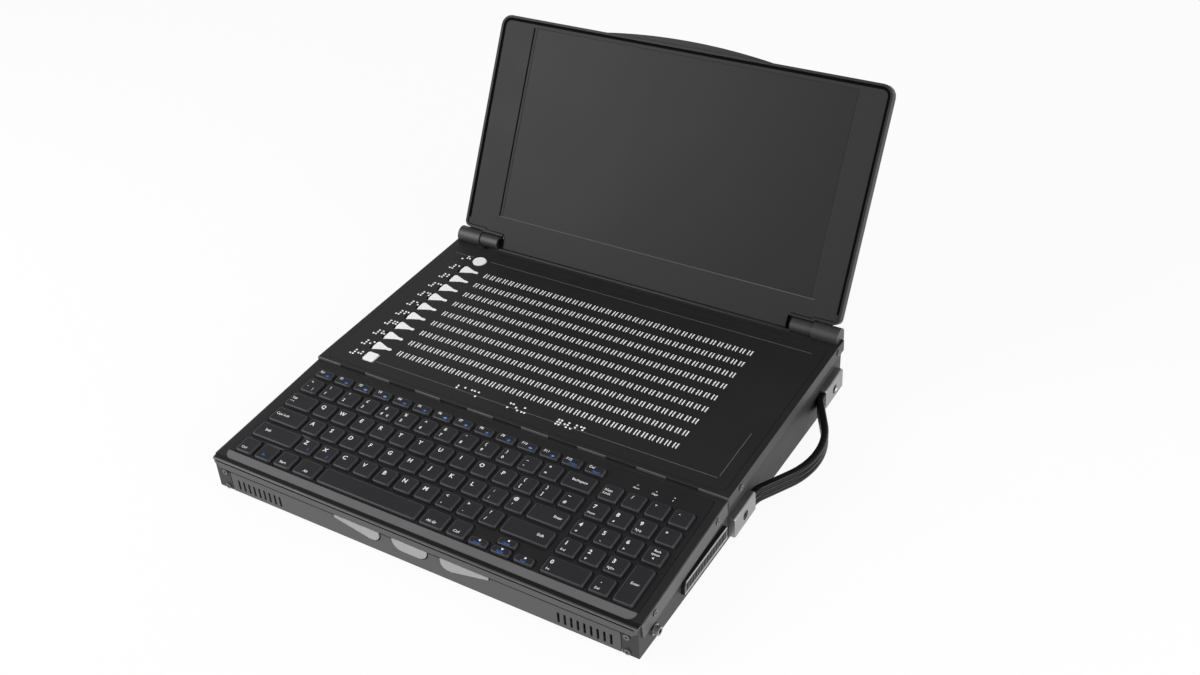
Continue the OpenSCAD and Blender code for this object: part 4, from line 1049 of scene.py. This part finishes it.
class BRAILLE_OT_handle(bpy.types.Operator):
    """Ribbed rubber strap, its brackets and their screws"""

    bl_idname = "braille.handle"
    bl_label = "Carrying handle"

    def execute(self, context):
        half = (STRAP_END - STRAP_START) / 2
        lean, middle = STRAP_LEAN, STRAP_START + half
        # Both bend radii together, so that the strap leans out straight between them and reaches its bow
        radii = (half * math.sin(lean) - STRAP_BOW * math.cos(lean)) / (1 - math.cos(lean))
        length = (half - radii * math.sin(lean)) / math.cos(lean)
        wide = radii - STRAP_R1
        out, along = length * math.sin(lean), length * math.cos(lean)
        bm = bmesh.new()
        ring = [bm.verts.new((STRAP_X + x, STRAP_START, STRAP_MID_Z + z)) for x, z in strap_section()]
        start = [bm.edges.new((a, b)) for a, b in zip(ring, ring[1:] + ring[:1])]
        last = self.swing(bm, start, (STRAP_X + STRAP_R1, STRAP_START, 0), -lean, 8)
        last = self.run(bm, last, (out, along, 0))
        last = self.swing(bm, last, (STRAP_X + STRAP_BOW - wide, middle, 0), 2 * lean, 28)
        last = self.run(bm, last, (-out, along, 0))
        last = self.swing(bm, last, (STRAP_X + STRAP_R1, STRAP_END, 0), -lean, 8)
        bmesh.ops.contextual_create(bm, geom=start)
        bmesh.ops.contextual_create(bm, geom=last)
        bmesh.ops.remove_doubles(bm, verts=bm.verts, dist=0.001)
        bmesh.ops.recalc_face_normals(bm, faces=bm.faces)
        for low, high in ((STRAP_START - POCKET, STRAP_START + TONGUE_LAP),
                          (STRAP_END - TONGUE_LAP, STRAP_END + POCKET)):
            box_part(bm, (STRAP_X - TONGUE_T / 2, low, STRAP_MID_Z - TONGUE_H / 2),
                     (STRAP_X + TONGUE_T / 2, high, STRAP_MID_Z + TONGUE_H / 2))
        settle(bm, DECK)
        rubber = grained("strap_rubber", grey(0.0025), 0.36, grain=700.0, sheen=0.26)
        add_piece("handle_strap_ribbed", bm, rubber, "case", ("handle_strap",), 50.0)
        metal = brushed("bracket_alloy", case_looks().bracket, 0.42)
        soften("handle_brackets", metal, 0.0005, 0.0011)
        dress(["handle_screws"], smooth_finish("handle_screw_black", grey(0.03), 0.55, sheen=0.3))
        return {"FINISHED"}

    @staticmethod
    def run(bm, edges, step):
        """Draws the strap straight on."""
        made = bmesh.ops.extrude_edge_only(bm, edges=edges)["geom"]
        bmesh.ops.translate(bm, vec=step, verts=[v for v in made if isinstance(v, bmesh.types.BMVert)])
        return [e for e in made if isinstance(e, bmesh.types.BMEdge)]

    @staticmethod
    def swing(bm, edges, centre, angle, steps):
        """Draws the strap on round a bend."""
        made = bmesh.ops.spin(bm, geom=edges, cent=centre, axis=(0, 0, 1), dvec=(0, 0, 0), angle=angle,
                              steps=steps, use_merge=False, use_normal_flip=False, use_duplicate=False)
        return [e for e in made["geom_last"] if isinstance(e, bmesh.types.BMEdge)]


# The camera that was fitted to the photo, on the display deck's frame: its axes, and its place in millimetres
CAMERA_RIGHT = 0.85595573, 0.51259405, -0.06795264
CAMERA_DOWN = 0.2583505, -0.5378131, -0.80249763
CAMERA_AHEAD = -0.44787812, 0.66933131, -0.59277313
CAMERA_PLACE = 481.64, -590.34, 626.01
CAMERA_LENS, CAMERA_SENSOR = 41.04, 36.0

# Where the lamps point, in metres, and how much of the floor's white shows
LAMP_AIM, FLOOR_GLOW = Vector((0.0, 0.0, 0.05)), 0.92


class BRAILLE_OT_stage(bpy.types.Operator):
    """Floor, lights, world and camera"""

    bl_idname = "braille.stage"
    bl_label = "Stage"

    def execute(self, context):
        looks = context.scene.braille_stage
        context.scene.view_settings.view_transform = "Standard"
        self.floor(looks)
        self.world(context.scene, looks)
        self.light("main_light", place=(-0.95, -0.75, 0.8), size=1.1, power=looks.key_light)
        self.light("fill_light", place=(1.25, -0.35, 0.55), size=0.9, power=looks.fill_light)
        self.camera(context.scene)
        return {"FINISHED"}

    @staticmethod
    def floor(looks):
        """A sheet that is white where it is seen and keeps the object's shadow."""
        bm = bmesh.new()
        bmesh.ops.create_grid(bm, x_segments=1, y_segments=1, size=6.0)
        ground = linked("floor", mesh_of("floor", bm))
        material = bpy.data.materials.new("floor_paper")
        material.use_nodes = True
        tree = material.node_tree
        wire = Wire(tree)
        paper = tree.nodes["Principled BSDF"]
        paper.inputs["Base Color"].default_value = lighter(looks.floor, 1.0)
        paper.inputs["Roughness"].default_value = 0.9
        glow = wire.node("ShaderNodeEmission", {"Color": grey(1.0), "Strength": 1.0})
        factor = wire.rays()[1] * FLOOR_GLOW
        mixed = wire.node("ShaderNodeMixShader", {0: factor, 1: Wire(tree, paper.outputs[0]), 2: glow})
        tree.links.new(mixed.socket, tree.nodes["Material Output"].inputs["Surface"])
        ground.data.materials.append(material)

    @staticmethod
    def world(scene, looks):
        """White for the camera, a white room with a darker ceiling in mirrors, and an even sky as light."""
        world = bpy.data.worlds.new("studio")
        world.use_nodes = True
        tree = world.node_tree
        wire = Wire(tree)
        camera, seen = wire.rays()
        way = wire.node("ShaderNodeTexCoord", out="Generated")
        height = wire.node("ShaderNodeSeparateXYZ", {0: way}, 2)
        rise = wire.node("ShaderNodeMapRange", {"Value": height, "From Min": 0.2, "From Max": 0.6})
        room = wire.mix(rise, grey(1.0), grey(0.25))
        tone = wire.mix(camera, room, grey(1.0))
        white = wire.node("ShaderNodeBackground", {"Color": tone, "Strength": 1.0})
        soft = wire.node("ShaderNodeBackground", {"Color": grey(1.0), "Strength": looks.sky})
        mixed = wire.node("ShaderNodeMixShader", {0: seen, 1: soft, 2: white})
        tree.links.new(mixed.socket, tree.nodes["World Output"].inputs["Surface"])
        scene.world = world

    @staticmethod
    def light(name, place, size, power):
        lamp = bpy.data.lights.new(name, "AREA")
        lamp.size = size
        lamp.energy = power
        holder = linked(name, lamp)
        holder.location = place
        holder.rotation_mode = "QUATERNION"
        holder.rotation_quaternion = (LAMP_AIM - holder.location).to_track_quat("-Z", "Y")

    @staticmethod
    def camera(scene):
        lens = bpy.data.cameras.new("camera")
        lens.sensor_width = CAMERA_SENSOR
        lens.lens = CAMERA_LENS
        lens.clip_start = 0.05
        eye = linked("camera", lens)
        right, down, ahead = Vector(CAMERA_RIGHT), Vector(CAMERA_DOWN), Vector(CAMERA_AHEAD)
        axes = Matrix((right, -down, -ahead)).transposed().to_4x4()
        eye.matrix_world = shift(*(DECK @ Vector(CAMERA_PLACE))) @ turn(DISPLAY_TILT) @ axes
        scene.camera = eye


LOOKS = {"braille_case": BrailleCaseLooks, "braille_touch": BrailleTouchLooks,
         "braille_stage": BrailleStageLooks}
OPERATORS = (
    BRAILLE_OT_stage, BRAILLE_OT_case, BRAILLE_OT_mechanism, BRAILLE_OT_marks, BRAILLE_OT_keys,
    BRAILLE_OT_legends, BRAILLE_OT_thumb_keys, BRAILLE_OT_lid, BRAILLE_OT_handle,
)


class BRAILLE_PT_panel(bpy.types.Panel):
    """Lists the pieces of the braille display"""

    bl_idname = "BRAILLE_PT_panel"
    bl_label = "Braille display"
    bl_space_type = "VIEW_3D"
    bl_region_type = "UI"
    bl_category = "Braille"

    def draw(self, context):
        for group, kind in LOOKS.items():
            for name in kind.__annotations__:
                self.layout.prop(getattr(context.scene, group), name)
        for operator in OPERATORS:
            self.layout.operator(operator.bl_idname)


CLASSES = (*LOOKS.values(), *OPERATORS, BRAILLE_PT_panel)


def register():
    for item in CLASSES:
        bpy.utils.register_class(item)
    for group, kind in LOOKS.items():
        setattr(bpy.types.Scene, group, bpy.props.PointerProperty(type=kind))


def unregister():
    for group in LOOKS:
        delattr(bpy.types.Scene, group)
    for item in reversed(CLASSES):
        bpy.utils.unregister_class(item)


def main():
    register()
    for operator in OPERATORS:
        group, name = operator.bl_idname.split(".")
        getattr(getattr(bpy.ops, group), name)()


if __name__ == "__main__":
    main()
